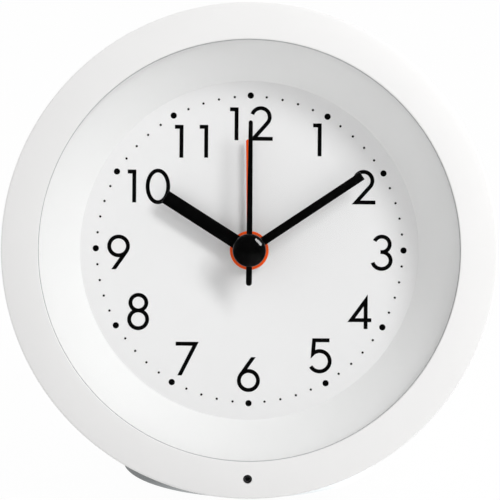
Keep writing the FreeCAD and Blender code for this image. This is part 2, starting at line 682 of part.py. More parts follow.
def make_rear_case():
    outer = rounded_case(0.0, -BEZEL_DEPTH, REAR, CASE_EDGE)
    inner = rounded_case(CASE_WALL, -BEZEL_DEPTH, REAR_INSIDE, CASE_EDGE - CASE_WALL)
    spigot_radius = BEZEL_RADIUS - BEZEL_WALL - FIT
    spigot = pipe(AXIS, -BEZEL_DEPTH - CASE_WALL, -BEZEL_DEPTH + SPIGOT_REACH, spigot_radius,
                  spigot_radius - SPIGOT_WALL)
    sensor_gap = SENSOR_BODY_RADIUS + 1.0
    notch = block(around(0.0, sensor_gap), (-BEZEL_RADIUS, -BEZEL_RADIUS / 2),
                  (-BEZEL_DEPTH, 0.0))
    shell = joined(outer.cut(inner), spigot.cut(notch))

    bay = block(grown(BAY_X, BAY_WALL), grown(BAY_SPAN_Y, BAY_WALL),
                (REAR + 0.5, BAY_FLOOR + BAY_WALL))
    posts = [rod(p, REAR + 0.5, POST_JOIN, POST_RADIUS) for p in POST_PLACES]
    shelf = block(around(0.0, CASE_FRONT_RADIUS), (SHELF_Y - SHELF_THICKNESS, SHELF_Y),
                  (REAR_INSIDE - 0.5, SHELF_FRONT))
    inside = [solid.common(outer) for solid in [bay, shelf] + posts]
    shell = joined(shell, *inside)

    cuts = [block(BAY_X, BAY_SPAN_Y, (REAR - 1, BAY_FLOOR))]
    for x, tab in ((BAY_HALF_LENGTH, -1), (-BAY_HALF_LENGTH, 1)):
        slot_x = sorted((x, x + tab * (CONTACT_THICKNESS + 2 * FIT)))
        y_top = BAY_SPAN_Y[1]
        cuts.append(block(slot_x, (y_top - 1, y_top + 2 * BAY_WALL), grown(TAB_SLOT_Z, FIT)))
    for p in POST_PLACES:
        cuts.append(rod(p, REAR - 1, WELL_FLOOR, SCREW_WELL_RADIUS))
        cuts.append(rod(p, WELL_FLOOR, POST_JOIN, CASE_SCREW_RADIUS + THREAD_GAP))
    for p in (TIME_SHAFT, ALARM_SHAFT):
        cuts.append(rod(p, REAR - 1, REAR_INSIDE + 1, SHAFT_RADIUS + SLIDE_GAP))
    cuts.append(button_box(BUTTON_HALF_WIDTH + SLIDE_GAP, BUTTON_HALF_DEPTH + SLIDE_GAP,
                           (SHELF_Y + 1, BEZEL_RADIUS)))
    cuts += slider_cuts() + sound_slots()
    return shell.cut(cuts).removeSplitter()


def make_case_screws():
    screws = []
    for p in POST_PLACES:
        head = rod(p, WELL_FLOOR - CASE_SCREW_HEAD_HEIGHT, WELL_FLOOR, CASE_SCREW_HEAD)
        shank = rod(p, WELL_FLOOR, WELL_FLOOR + CASE_SCREW_LENGTH, CASE_SCREW_RADIUS)
        screws.append(joined(head, shank).cut(cross_slots(p, head.BoundBox.ZMin, CASE_SCREW_HEAD)))
    return Part.makeCompound(screws)


def cross_slots(place, z_low, head_radius):
    """The cross recess of a screw whose head looks backwards."""
    reach = 0.6 * head_radius
    width = 0.16 * head_radius
    depth = 0.35 * head_radius
    z_range = (z_low - 1, z_low + depth)
    return [
        block(around(place[0], reach), around(place[1], width), z_range),
        block(around(place[0], width), around(place[1], reach), z_range),
    ]


def make_battery_cover():
    gap = 2 * FIT
    plate = block(grown(BAY_X, -gap), grown(BAY_SPAN_Y, -gap), (REAR, REAR + COVER_THICKNESS))
    ribs = []
    for k in range(4):
        x = -BAY_HALF_LENGTH + 5.0 + 1.8 * k
        ribs.append(block(around(x, 0.45), around(BAY_Y, 4.0), (REAR - 0.4, REAR + 0.2)))
    return joined(plate, *ribs)


# Battery and its contacts

def along_x(x_low, x_high, y, z, radius):
    return Part.makeCylinder(radius, x_high - x_low, Vec(x_low, y, z), Vec(1, 0, 0))


BATTERY_LEFT = BATTERY_SHIFT - (BATTERY_BODY + BATTERY_NUB) / 2
BATTERY_RIGHT = BATTERY_LEFT + BATTERY_BODY + BATTERY_NUB


def make_battery():
    can = along_x(BATTERY_LEFT, BATTERY_LEFT + BATTERY_BODY, BAY_Y, BATTERY_Z, BATTERY_RADIUS)
    can = can.makeFillet(0.5, can.Edges)
    nub_start = BATTERY_LEFT + BATTERY_BODY - 0.5
    nub = along_x(nub_start, BATTERY_RIGHT, BAY_Y, BATTERY_Z, BATTERY_NUB_RADIUS)
    return joined(can, nub)


def contact_plate(wall_x, inward):
    """A contact plate against an end wall of the bay, with its solder tab through the side."""
    x_range = sorted((wall_x, wall_x + inward * CONTACT_THICKNESS))
    half = CONTACT_SIZE / 2
    plate = block(x_range, around(BAY_Y, half), around(BATTERY_Z, half))
    y_range = (BAY_Y, BAY_SPAN_Y[1] + BAY_WALL + CONTACT_TAB)
    tab = block(x_range, y_range, around(BATTERY_Z, CONTACT_TAB))
    return joined(plate, tab)


def make_contact_positive():
    plate = contact_plate(BAY_HALF_LENGTH, -1)
    dimple_end = BAY_HALF_LENGTH - CONTACT_THICKNESS / 2
    dimple = along_x(BATTERY_RIGHT, dimple_end, BAY_Y, BATTERY_Z, 0.8 * BATTERY_NUB_RADIUS)
    return joined(plate, dimple)


def make_coil(start, direction, length, radius, wire, turns):
    """A closed coil spring of round wire, built of rings joined by its helix."""
    pitch = (length - 2 * wire) / turns
    helix = Part.makeHelix(pitch, length - 2 * wire, radius)
    profile = Part.Wire(Part.Circle(Vec(radius, 0, 0), Vec(0, 1, 0), wire).toShape())
    coil = Part.Wire(helix).makePipeShell([profile], True, True)
    coil.translate(Vec(0, 0, wire))
    turn = FreeCAD.Rotation(Vec(0, 0, 1), direction)
    coil.Placement = FreeCAD.Placement(start, turn).multiply(coil.Placement)
    return coil


def make_contact_negative():
    plate = contact_plate(-BAY_HALF_LENGTH, 1)
    start = -BAY_HALF_LENGTH + CONTACT_THICKNESS
    length = BATTERY_LEFT - start
    coil = make_coil(Vec(start, BAY_Y, BATTERY_Z), Vec(1, 0, 0), length, 2.6, SPRING_WIRE, 3)
    return Part.makeCompound([plate, coil])


# Snooze and light button

FLANGE_BOTTOM = SHELF_Y + FLANGE_ABOVE_SHELF
FLANGE_TOP = FLANGE_BOTTOM + BUTTON_FLANGE_THICKNESS
PLUNGER_TOP = SHELF_Y + SWITCH_HEIGHT + PLUNGER_HEIGHT
SEAT_Y = SHELF_Y + SEAT_ABOVE_SHELF


def along_y(x, z, y_low, y_high, radius):
    return Part.makeCylinder(radius, y_high - y_low, Vec(x, y_low, z), Vec(0, 1, 0))


def make_snooze_button():
    ends = (BUTTON_Z + 2 * BUTTON_HALF_DEPTH, BUTTON_Z - 2 * BUTTON_HALF_DEPTH)
    top_shape = case_cone(-BUTTON_PROUD, *ends)
    under_shape = case_cone(BUTTON_WALL - BUTTON_PROUD, *ends)
    y_range = (FLANGE_BOTTOM, BEZEL_RADIUS + 1)
    body = button_box(BUTTON_HALF_WIDTH, BUTTON_HALF_DEPTH, y_range).common(top_shape)
    top_edges = [e for e in body.Edges if e.BoundBox.YMax > case_radius(BUTTON_Z) - 5]
    body = body.makeFillet(BUTTON_ROUND, top_edges)
    inner_width = BUTTON_HALF_WIDTH - BUTTON_WALL
    inner_depth = BUTTON_HALF_DEPTH - BUTTON_WALL
    hollow = button_box(inner_width, inner_depth, (FLANGE_BOTTOM - 1, BEZEL_RADIUS))
    body = body.cut(hollow.common(under_shape))
    flange = button_box(BUTTON_HALF_WIDTH + BUTTON_FLANGE, BUTTON_HALF_DEPTH + BUTTON_FLANGE,
                        (FLANGE_BOTTOM, FLANGE_TOP))
    flange = flange.cut(button_box(inner_width, inner_depth, (FLANGE_BOTTOM - 1, FLANGE_TOP + 1)))
    stem_end = PLUNGER_TOP + BUTTON_TRAVEL + FIT
    top = case_radius(BUTTON_Z) + BUTTON_PROUD - BUTTON_WALL / 2
    stem = along_y(0.0, BUTTON_Z, stem_end, top, 1.5)
    seats = [along_y(x, BUTTON_Z, SEAT_Y, top, SEAT_RADIUS).common(top_shape)
             for x in (SPRING_X, -SPRING_X)]
    trimmed = [seat.common(case_cone(BUTTON_WALL / 2 - BUTTON_PROUD, *ends)) for seat in seats]
    return joined(body, flange, stem, *trimmed)


def make_snooze_springs():
    length = SEAT_Y - SHELF_Y
    springs = []
    for x in (SPRING_X, -SPRING_X):
        start = Vec(x, SHELF_Y, BUTTON_Z)
        springs.append(make_coil(start, Vec(0, 1, 0), length, SPRING_RADIUS, SPRING_WIRE,
                                 SPRING_TURNS))
    return Part.makeCompound(springs)


def make_snooze_switch():
    half = SWITCH_SIZE / 2
    body = block(around(0, half), (SHELF_Y, SHELF_Y + SWITCH_HEIGHT), around(BUTTON_Z, half))
    plunger = along_y(0, BUTTON_Z, SHELF_Y + SWITCH_HEIGHT - 0.5, PLUNGER_TOP, PLUNGER_RADIUS)
    return joined(body, plunger)


# Alarm switch

def make_alarm_switch_slider():
    """The slider at rest, at the off end of its travel."""
    x = -SLIDER_TRAVEL / 2
    foot = REAR + SLIDER_RECESS - FIT
    thumb = block(around(x, SLIDER_LENGTH / 2), around(SLIDER_Y, SLIDER_WIDTH / 2),
                  (REAR - SLIDER_PROUD, foot))
    grips = []
    for k in (-1, 0, 1):
        groove_x = x + k * SLIDER_LENGTH / 4
        grips.append(block(around(groove_x, 0.2), around(SLIDER_Y, SLIDER_WIDTH),
                           (REAR - SLIDER_PROUD - 1, REAR - SLIDER_PROUD + 0.3)))
    stem = block(around(x, SLIDER_STEM / 2), around(SLIDER_Y, SLIDER_STEM / 2),
                 (foot - 0.5, REAR_INSIDE + STEM_REACH))
    return joined(thumb.cut(grips), stem)


def make_alarm_switch_body():
    length, width, height = SWITCH_BODY
    body = block(around(0, length / 2), around(SLIDER_Y, width / 2),
                 (REAR_INSIDE, REAR_INSIDE + height))
    half = (SLIDER_STEM + SLIDER_TRAVEL) / 2 + SLIDE_GAP
    pocket = block(around(0, half), around(SLIDER_Y, SLIDER_STEM / 2 + SLIDE_GAP),
                   (REAR_INSIDE - 1, REAR_INSIDE + STEM_REACH + SLIDE_GAP))
    return body.cut(pocket)


# Setting knobs and shafts

SHAFT_END = REAR - KNOB_LIFT - KNOB_GRIP


def make_knob(place):
    front = REAR - KNOB_LIFT
    knob = rod(place, front - KNOB_LENGTH, front, KNOB_RADIUS)
    rear_edge = [e for e in knob.Edges if e.BoundBox.ZMax < front - KNOB_LENGTH + 0.01]
    knob = knob.makeFillet(0.6, rear_edge)
    flutes = []
    for k in range(KNOB_FLUTES):
        bearing = 2 * math.pi * k / KNOB_FLUTES
        x = place[0] + KNOB_RADIUS * math.cos(bearing)
        y = place[1] + KNOB_RADIUS * math.sin(bearing)
        flutes.append(rod((x, y), front - KNOB_LENGTH - 1, front - 1.0, FLUTE_RADIUS))
    bore = rod(place, SHAFT_END, front + 1, SHAFT_RADIUS)
    return knob.cut(flutes + [bore])


def make_setting_shaft(place, gear_solid):
    collar_depth = MOVEMENT_DEPTH - REAR_PLATE - 2 * FIT
    shaft = rod(place, SHAFT_END, inside_movement(FRONT_PLATE + 0.5), SHAFT_RADIUS)
    pivot = rod(place, inside_movement(FRONT_PLATE + 1.0), inside_movement(0.5), SHAFT_PIVOT)
    collar = rod(place, inside_movement(collar_depth), inside_movement(collar_depth - 0.6),
                 SHAFT_COLLAR)
    return joined(gear_solid, shaft, pivot, collar)


def make_time_set_shaft():
    teeth = pinion(TIME_SHAFT, MINUTE_WHEEL_DEPTH, SETTING_TEETH, MINUTE_MODULE, SETTING_PHASE)
    return make_setting_shaft(TIME_SHAFT, teeth)


def make_alarm_set_shaft():
    teeth = pinion(ALARM_SHAFT, ALARM_WHEEL_DEPTH, ALARM_PINION_TEETH, ALARM_MODULE,
                   ALARM_PINION_PHASE)
    return make_setting_shaft(ALARM_SHAFT, teeth)


# Movement

def make_movement_housing():
    half = MOVEMENT_SIZE / 2
    wall_end = inside_movement(MOVEMENT_DEPTH - REAR_PLATE)
    box = block(around(0, half), around(0, half), (wall_end, CHASSIS_BACK))
    inner = half - SIDE_WALL
    room = block(around(0, inner), around(0, inner), (wall_end - 1, inside_movement(FRONT_PLATE)))
    posts = [rod(p, inside_movement(MIDDLE_DEPTH), CHASSIS_BACK, CORNER_POST) for p in CORNERS]
    shell = joined(box.cut(room), *posts)
    z_range = (inside_movement(MIDDLE_DEPTH), CHASSIS_BACK)
    cuts = [rod(AXIS, *z_range, ALARM_TUBE + RUN)]
    cuts += [rod(p, *z_range, SHAFT_PIVOT + RUN) for p in (TIME_SHAFT, ALARM_SHAFT)]
    cuts += [rod(p, *z_range, MOVEMENT_SCREW_RADIUS + THREAD_GAP) for p in MOVEMENT_SCREW_PLACES]
    return shell.cut(cuts)


STATOR_POSTS = [(YOKE_X, 4.5), (YOKE_X, -8.5)]
COIL_Z = inside_movement(STATOR_DEPTH + STATOR_THICKNESS / 2)
BOBBIN_Y = (YOKE_BOTTOM + YOKE_BAR + 2 * FIT, YOKE_TOP - YOKE_BAR - 2 * FIT)


def make_middle_plate():
    half = MOVEMENT_SIZE / 2 - SIDE_WALL - FIT
    back = MIDDLE_DEPTH + MIDDLE_PLATE
    plate = block(around(0, half), around(0, half), (inside_movement(back),
                                                     inside_movement(MIDDLE_DEPTH)))
    rear_depth = MOVEMENT_DEPTH - REAR_PLATE
    posts = [rod(p, inside_movement(rear_depth), inside_movement(MIDDLE_DEPTH), CORNER_POST)
             for p in CORNERS]
    posts += [rod(p, inside_movement(STATOR_DEPTH), inside_movement(MIDDLE_DEPTH),
                  YOKE_WIDTH / 2) for p in STATOR_POSTS]
    post_tip = HOUR_WHEEL_DEPTH - 2 * PINION_EXTRA
    posts.append(rod(MINUTE_ARBOR, inside_movement(back), inside_movement(post_tip),
                     MINUTE_POST_RADIUS))
    z_range = (inside_movement(rear_depth), inside_movement(MIDDLE_DEPTH))
    cuts = [rod(AXIS, *z_range, MINUTE_TUBE + RUN)]
    cuts += [rod(p, *z_range, SHAFT_RADIUS + RUN) for p in (TIME_SHAFT, ALARM_SHAFT)]
    cuts += [rod(p, *z_range, PIVOT_RADIUS + RUN) for p in (THIRD_ARBOR, STEP_ARBOR, ROTOR_ARBOR)]
    cuts += [rod(p, *z_range, MOVEMENT_SCREW_RADIUS + THREAD_GAP) for p in MOVEMENT_SCREW_PLACES]
    window_x = around(COIL_X, BOBBIN_FLANGE + 2 * FIT)
    cuts.append(block(window_x, grown(BOBBIN_Y, FIT), z_range))
    return joined(plate, *posts).cut(cuts)


def make_rear_plate():
    half = MOVEMENT_SIZE / 2
    front = inside_movement(MOVEMENT_DEPTH - REAR_PLATE)
    plate = block(around(0, half), around(0, half), (MOVEMENT_BACK, front))
    standoffs = [rod(p, BOARD_FRONT, MOVEMENT_BACK, STANDOFF_RADIUS) for p in STANDOFF_PLACES]
    board_z = inside_movement(MOVEMENT_BOARD_DEPTH + 0.8)
    pegs = [rod((x, y), MOVEMENT_BACK, board_z, 1.0)
            for x in grown(MOVEMENT_BOARD_X, -2) for y in grown(MOVEMENT_BOARD_Y, -2)]
    z_range = (BOARD_FRONT, front)
    cuts = [rod(p, *z_range, SHAFT_RADIUS + RUN) for p in (TIME_SHAFT, ALARM_SHAFT)]
    pivots = (AXIS, THIRD_ARBOR, STEP_ARBOR, ROTOR_ARBOR)
    cuts += [rod(p, *z_range, PIVOT_RADIUS + RUN) for p in pivots]
    cuts += [rod(p, *z_range, MOVEMENT_SCREW_RADIUS + THREAD_GAP) for p in MOVEMENT_SCREW_PLACES]
    cuts += [rod(p, *z_range, BOARD_SCREW_RADIUS + THREAD_GAP) for p in STANDOFF_PLACES[:2]]
    return joined(plate, *standoffs, *pegs).cut(cuts)


def make_movement_screws():
    screws = []
    for p in MOVEMENT_SCREW_PLACES:
        low = MOVEMENT_BACK - MOVEMENT_SCREW_HEAD_HEIGHT
        head = rod(p, low, MOVEMENT_BACK, MOVEMENT_SCREW_HEAD)
        shank = rod(p, MOVEMENT_BACK, DIAL_BACK - 0.4, MOVEMENT_SCREW_RADIUS)
        screws.append(joined(head, shank).cut(cross_slots(p, low, MOVEMENT_SCREW_HEAD)))
    return Part.makeCompound(screws)


def arbor(place, radius, front_depth, rear_depth):
    """An arbor between two plates, with thinner pivots that enter them."""
    pivot_reach = 0.5
    body = rod(place, inside_movement(rear_depth - FIT), inside_movement(front_depth + FIT), radius)
    pivot = rod(place, inside_movement(rear_depth + pivot_reach),
                inside_movement(front_depth - pivot_reach), PIVOT_RADIUS)
    return joined(body, pivot)


BACK_OF_MIDDLE = MIDDLE_DEPTH + MIDDLE_PLATE
FRONT_OF_REAR = MOVEMENT_DEPTH - REAR_PLATE
SLIM_ARBOR = 0.4


def make_rotor():
    teeth = pinion(ROTOR_ARBOR, STEP_WHEEL_DEPTH, ROTOR_TEETH, STEP_MODULE, 0.0)
    shaft = arbor(ROTOR_ARBOR, SLIM_ARBOR, BACK_OF_MIDDLE, FRONT_OF_REAR)
    middle = STATOR_DEPTH + STATOR_THICKNESS / 2
    magnet = rod(ROTOR_ARBOR, inside_movement(middle + MAGNET_LENGTH / 2),
                 inside_movement(middle - MAGNET_LENGTH / 2), MAGNET_RADIUS)
    return joined(teeth, shaft, magnet)


def make_step_wheel():
    big = wheel(STEP_ARBOR, STEP_WHEEL_DEPTH, STEP_TEETH, STEP_MODULE, STEP_PHASE)
    small = pinion(STEP_ARBOR, SECONDS_WHEEL_DEPTH, STEP_PINION_TEETH, SECONDS_MODULE, 0.0)
    return joined(big, small, arbor(STEP_ARBOR, SLIM_ARBOR, BACK_OF_MIDDLE, FRONT_OF_REAR))


def make_seconds_wheel():
    big = wheel(AXIS, SECONDS_WHEEL_DEPTH, SECONDS_TEETH, SECONDS_MODULE, SECONDS_PHASE)
    small = pinion(AXIS, THIRD_WHEEL_DEPTH, SECONDS_PINION_TEETH, THIRD_MODULE, 0.0)
    shaft = rod(AXIS, inside_movement(FRONT_OF_REAR - FIT), SECOND_HAND_Z + HAND_THICKNESS,
                ARBOR_RADIUS)
    pivot = rod(AXIS, inside_movement(FRONT_OF_REAR + 0.5), inside_movement(FRONT_OF_REAR - 1),
                PIVOT_RADIUS)
    return joined(big, small, shaft, pivot)


def make_third_wheel():
    big = wheel(THIRD_ARBOR, THIRD_WHEEL_DEPTH, THIRD_TEETH, THIRD_MODULE, THIRD_PHASE)
    small = pinion(THIRD_ARBOR, CENTRE_WHEEL_DEPTH, THIRD_PINION_TEETH, CENTRE_MODULE, 0.0)
    return joined(big, small, arbor(THIRD_ARBOR, SLIM_ARBOR, BACK_OF_MIDDLE, FRONT_OF_REAR))


def make_centre_wheel():
    """The wheel that turns the minute tube through its friction fit."""
    return wheel(AXIS, CENTRE_WHEEL_DEPTH, CENTRE_TEETH, CENTRE_MODULE, CENTRE_PHASE,
                 MINUTE_TUBE + RUN)


def make_cannon_pinion():
    teeth = pinion(AXIS, MINUTE_WHEEL_DEPTH, CANNON_TEETH, MINUTE_MODULE, 0.0)
    tube_end = CENTRE_WHEEL_DEPTH + WHEEL_THICKNESS + PINION_EXTRA
    tube = rod(AXIS, inside_movement(tube_end), MINUTE_HAND_Z + HAND_THICKNESS, MINUTE_TUBE)
    bore = rod(AXIS, inside_movement(tube_end + 1), SECOND_HAND_Z, MINUTE_TUBE_BORE)
    return joined(teeth, tube).cut(bore)


def make_minute_wheel():
    big = wheel(MINUTE_ARBOR, MINUTE_WHEEL_DEPTH, MINUTE_TEETH, MINUTE_MODULE, MINUTE_PHASE)
    depth = HOUR_WHEEL_DEPTH - PINION_EXTRA
    length = MINUTE_WHEEL_DEPTH + WHEEL_THICKNESS / 2 - depth
    small = gear(MINUTE_ARBOR, depth, length, MINUTE_PINION_TEETH, HOUR_MODULE,
                 PINION_ADDENDUM, 0.0)
    hub = rod(MINUTE_ARBOR, inside_movement(MIDDLE_DEPTH - FIT),
              inside_movement(MINUTE_WHEEL_DEPTH), 1.1)
    bore = rod(MINUTE_ARBOR, inside_movement(MIDDLE_DEPTH + 1), inside_movement(depth - 1),
               MINUTE_POST_RADIUS + RUN)
    return joined(big, small, hub).cut(bore)


def make_hour_wheel():
    teeth = wheel(AXIS, HOUR_WHEEL_DEPTH, HOUR_TEETH, HOUR_MODULE, HOUR_PHASE)
    tube_end = HOUR_WHEEL_DEPTH + WHEEL_THICKNESS
    tube = rod(AXIS, inside_movement(tube_end), HOUR_HAND_Z + HAND_THICKNESS, HOUR_TUBE)
    bore = rod(AXIS, inside_movement(tube_end + 1), MINUTE_HAND_Z, HOUR_TUBE_BORE)
    return joined(teeth, tube).cut(bore)


def make_alarm_wheel():
    teeth = wheel(AXIS, ALARM_WHEEL_DEPTH, ALARM_TEETH, ALARM_MODULE, 0.0)
    tube_end = ALARM_WHEEL_DEPTH + WHEEL_THICKNESS
    tube = rod(AXIS, inside_movement(tube_end), ALARM_HAND_Z + HAND_THICKNESS, ALARM_TUBE)
    bore = rod(AXIS, inside_movement(tube_end + 1), HOUR_HAND_Z, ALARM_TUBE_BORE)
    return joined(teeth, tube).cut(bore)


def make_stator():
    z_range = (inside_movement(STATOR_DEPTH + STATOR_THICKNESS), inside_movement(STATOR_DEPTH))
    ring = rod(ROTOR_ARBOR, *z_range, POLE_RADIUS)
    yoke_x = around(YOKE_X, YOKE_WIDTH / 2)
    core_x = around(COIL_X, CORE_WIDTH / 2)
    bar_x = (yoke_x[0], core_x[1])
    yoke = block(yoke_x, (YOKE_BOTTOM, YOKE_TOP), z_range)
    top = block(bar_x, (YOKE_TOP - YOKE_BAR, YOKE_TOP), z_range)
    bottom = block(bar_x, (YOKE_BOTTOM, YOKE_BOTTOM + YOKE_BAR), z_range)
    core = block(core_x, (YOKE_BOTTOM, YOKE_TOP), z_range)
    plate = joined(ring, yoke, top, bottom, core)
    return plate.cut(rod(ROTOR_ARBOR, *z_range, MAGNET_RADIUS + AIR_GAP))


def make_bobbin():
    low, high = BOBBIN_Y
    tube = along_y(COIL_X, COIL_Z, low, high, BOBBIN_TUBE)
    flanges = [along_y(COIL_X, COIL_Z, y, y + FLANGE_THICKNESS, BOBBIN_FLANGE)
               for y in (low, high - FLANGE_THICKNESS)]
    core = block(around(COIL_X, CORE_WIDTH / 2 + RUN), (low - 1, high + 1),
                 around(COIL_Z, STATOR_THICKNESS / 2 + RUN))
    return joined(tube, *flanges).cut(core)


def make_winding():
    low, high = BOBBIN_Y[0] + FLANGE_THICKNESS, BOBBIN_Y[1] - FLANGE_THICKNESS
    coil = along_y(COIL_X, COIL_Z, low, high, WINDING_RADIUS)
    return coil.cut(along_y(COIL_X, COIL_Z, low, high, BOBBIN_TUBE))


def make_movement_board():
    back = MOVEMENT_BOARD_DEPTH + MOVEMENT_BOARD_THICKNESS
    z_range = (inside_movement(back), inside_movement(MOVEMENT_BOARD_DEPTH))
    return block(MOVEMENT_BOARD_X, MOVEMENT_BOARD_Y, z_range)


def make_quartz_crystal():
    z = inside_movement(MOVEMENT_BOARD_DEPTH) + CRYSTAL_RADIUS
    x = sum(MOVEMENT_BOARD_X) / 2
    y = MOVEMENT_BOARD_Y[0] + CRYSTAL_FROM_EDGE
    return along_x(x - CRYSTAL_LENGTH / 2, x + CRYSTAL_LENGTH / 2, y, z, CRYSTAL_RADIUS)


def make_movement_chip():
    """The chip under its round drop of resin."""
    face = inside_movement(MOVEMENT_BOARD_DEPTH)
    x = sum(MOVEMENT_BOARD_X) / 2
    y = MOVEMENT_BOARD_Y[1] - CHIP_FROM_EDGE
    return domed_rod((x, y), face, face, GLOB_RADIUS, GLOB_HEIGHT)


def make_alarm_contact():
    """A leaf spring beside the hour wheel, on the inside of the front plate."""
    face = inside_movement(FRONT_PLATE)
    z_range = (face - LEAF_THICKNESS, face)
    foot = block(grown(LEAF_X, LEAF_FOOT_EXTRA), LEAF_FOOT_Y, z_range)
    leaf = block(LEAF_X, (LEAF_FOOT_Y[0], LEAF_END), z_range)
    return joined(foot, leaf)


# Electrics

def make_main_board():
    board = block(around(0, BOARD_X), BOARD_Y, (BOARD_BACK, BOARD_FRONT))
    holes = [rod(p, BOARD_BACK, BOARD_FRONT, BOARD_SCREW_RADIUS + THREAD_GAP)
             for p in STANDOFF_PLACES[:2]]
    return board.cut(holes)


def make_board_screws():
    screws = []
    for p in STANDOFF_PLACES[:2]:
        low = BOARD_BACK - BOARD_SCREW_HEAD_HEIGHT
        head = rod(p, low, BOARD_BACK, BOARD_SCREW_HEAD)
        shank = rod(p, BOARD_BACK, MOVEMENT_BACK - 0.4, BOARD_SCREW_RADIUS)
        screws.append(joined(head, shank).cut(cross_slots(p, low, BOARD_SCREW_HEAD)))
    return Part.makeCompound(screws)


def make_main_chip():
    half = CHIP_SIZE / 2
    return block(around(CHIP_PLACE[0], half), around(CHIP_PLACE[1], half),
                 (BOARD_BACK - CHIP_THICKNESS, BOARD_BACK))


def make_capacitors():
    cans = []
    for p in CAPACITOR_PLACES:
        low = BOARD_BACK - CAPACITOR_LENGTH
        can = rod(p, low, BOARD_BACK, CAPACITOR_RADIUS)
        cans.append(can.makeFillet(0.4, [e for e in can.Edges if e.BoundBox.ZMax < low + 0.01]))
    return Part.makeCompound(cans)


def make_buzzer():
    can = rod((0, BUZZER_Y), REAR_INSIDE, REAR_INSIDE + BUZZER_HEIGHT, BUZZER_RADIUS)
    mouth = rod((0, BUZZER_Y), REAR_INSIDE - 1, REAR_INSIDE + 1, BUZZER_RADIUS - 1)
    return can.cut(mouth)


def make_buzzer_wires():
    wires = []
    for side in (-1, 1):
        place = (side * WIRE_SPACING / 2, BUZZER_Y)
        wires.append(rod(place, REAR_INSIDE + BUZZER_HEIGHT, BOARD_BACK, WIRE_RADIUS))
    return Part.makeCompound(wires)


def bent_wire(points, radius):
    """A round wire through a list of points, with its corners rounded by arcs."""
    edges = []
    start = points[0]
    for corner, following in zip(points[1:-1], points[2:]):
        before = (corner - start).normalize()
        after = (following - corner).normalize()
        half_turn = before.getAngle(after) / 2
        bend = min(WIRE_BEND, 0.45 * (corner - start).Length / math.tan(half_turn),
                   0.45 * (following - corner).Length / math.tan(half_turn))
        setback = bend * math.tan(half_turn)
        arc_start = corner - before * setback
        arc_end = corner + after * setback
        inward = (after - before).normalize()
        middle = corner + inward * (bend / math.cos(half_turn) - bend)
        edges.append(Part.LineSegment(start, arc_start).toShape())
        edges.append(Part.Arc(arc_start, middle, arc_end).toShape())
        start = arc_end
    edges.append(Part.LineSegment(start, points[-1]).toShape())
    spine = Part.Wire(edges)
    direction = (points[1] - points[0]).normalize()
    profile = Part.Wire(Part.Circle(points[0], direction, radius).toShape())
    return spine.makePipeShell([profile], True, True)


WIRE_LAYER = (MOVEMENT_BACK - MOVEMENT_SCREW_HEAD_HEIGHT + BAY_FLOOR + BAY_WALL) / 2


def make_battery_wires():
    """From the two contacts' tabs up to the lower edge of the main board."""
    wires = []
    tab_y = BAY_SPAN_Y[1] + BAY_WALL + CONTACT_TAB
    for side in (-1, 1):
        tab_x = side * (BAY_HALF_LENGTH - CONTACT_THICKNESS / 2)
        board_x = side * (BOARD_X - BOARD_LEAD_INSET)
        points = [
            Vec(tab_x, tab_y, BATTERY_Z),
            Vec(tab_x, tab_y + BATTERY_LEAD, BATTERY_Z),
            Vec(board_x, tab_y + BATTERY_LEAD_RISE, (BATTERY_Z + BOARD_BACK) / 2),
            Vec(board_x, BOARD_Y[0] - WIRE_RADIUS, BOARD_BACK + BOARD_THICKNESS / 2),
        ]
        wires.append(bent_wire(points, WIRE_RADIUS))
    return Part.makeCompound(wires)


def make_sensor_wires():
    """From the light sensor round the chassis and up behind the movement."""
    sensor_end = sensor_top() - SENSOR_BODY_LENGTH
    wires = []
    for side in (-1, 1):
        x = side * WIRE_SPACING / 4
        spread = side * WIRE_SPACING / 2
        low = -case_radius(WIRE_LAYER, CASE_WALL) + 3 * WIRE_RADIUS
        chassis_y = -case_radius(CHASSIS_BACK, CASE_WALL) + 3 * WIRE_RADIUS
        points = [
            Vec(x, -SENSOR_PLACE, sensor_end),
            Vec(x, -SENSOR_PLACE, sensor_end - SENSOR_LEAD),
            Vec(spread, chassis_y, CHASSIS_BACK - 1.0),
            Vec(spread, low, WIRE_LAYER),
            Vec(spread, BOARD_Y[0] - SENSOR_LEAD_END, WIRE_LAYER),
            Vec(spread, BOARD_Y[0] - WIRE_RADIUS, BOARD_FRONT - WIRE_RADIUS),
        ]
        wires.append(bent_wire(points, WIRE_RADIUS))
    return Part.makeCompound(wires)


def make_dial_lamps():
    """Lamps round the outside of the reflector, on the chassis."""
    slope, level_wall = reflector_slope()
    tip = DIAL_BACK + LAMP_LENGTH
    reflector_outside = DIAL_RADIUS + level_wall + (tip - DIAL_FRONT) * slope
    lamps = []
    for bearing in LAMP_BEARINGS:
        place = polar(reflector_outside + LAMP_GAP + LAMP_RADIUS, bearing)
        body = rod(place, DIAL_BACK, tip, LAMP_RADIUS)
        top = [e for e in body.Edges if e.BoundBox.ZMin > tip - 0.01]
        lamps.append(body.makeFillet(0.8 * LAMP_RADIUS, top))
    return Part.makeCompound(lamps)


# Hands

def hand_blade(z, angle, length, width, start=0.0, tip_cut=0.0, round_ends=False):
    """A flat blade that points along a clock angle, from start to length."""
    half = width / 2
    outline = [Vec(-half, start, z), Vec(-half, length - tip_cut, z)]
    if tip_cut:
        outline += [Vec(-half + tip_cut, length, z), Vec(half - tip_cut, length, z)]
    outline += [Vec(half, length - tip_cut, z), Vec(half, start, z)]
    blade = Part.Face(Part.makePolygon(outline + outline[:1])).extrude(Vec(0, 0, HAND_THICKNESS))
    if round_ends:
        for y in (start, length):
            blade = blade.fuse(rod((0, y), z, z + HAND_THICKNESS, half))
        blade = blade.removeSplitter()
    blade.rotate(Vec(0, 0, 0), Vec(0, 0, 1), -angle)
    return blade


def hub(z, radius):
    return rod(AXIS, z, z + HAND_THICKNESS + HUB_EXTRA, radius)


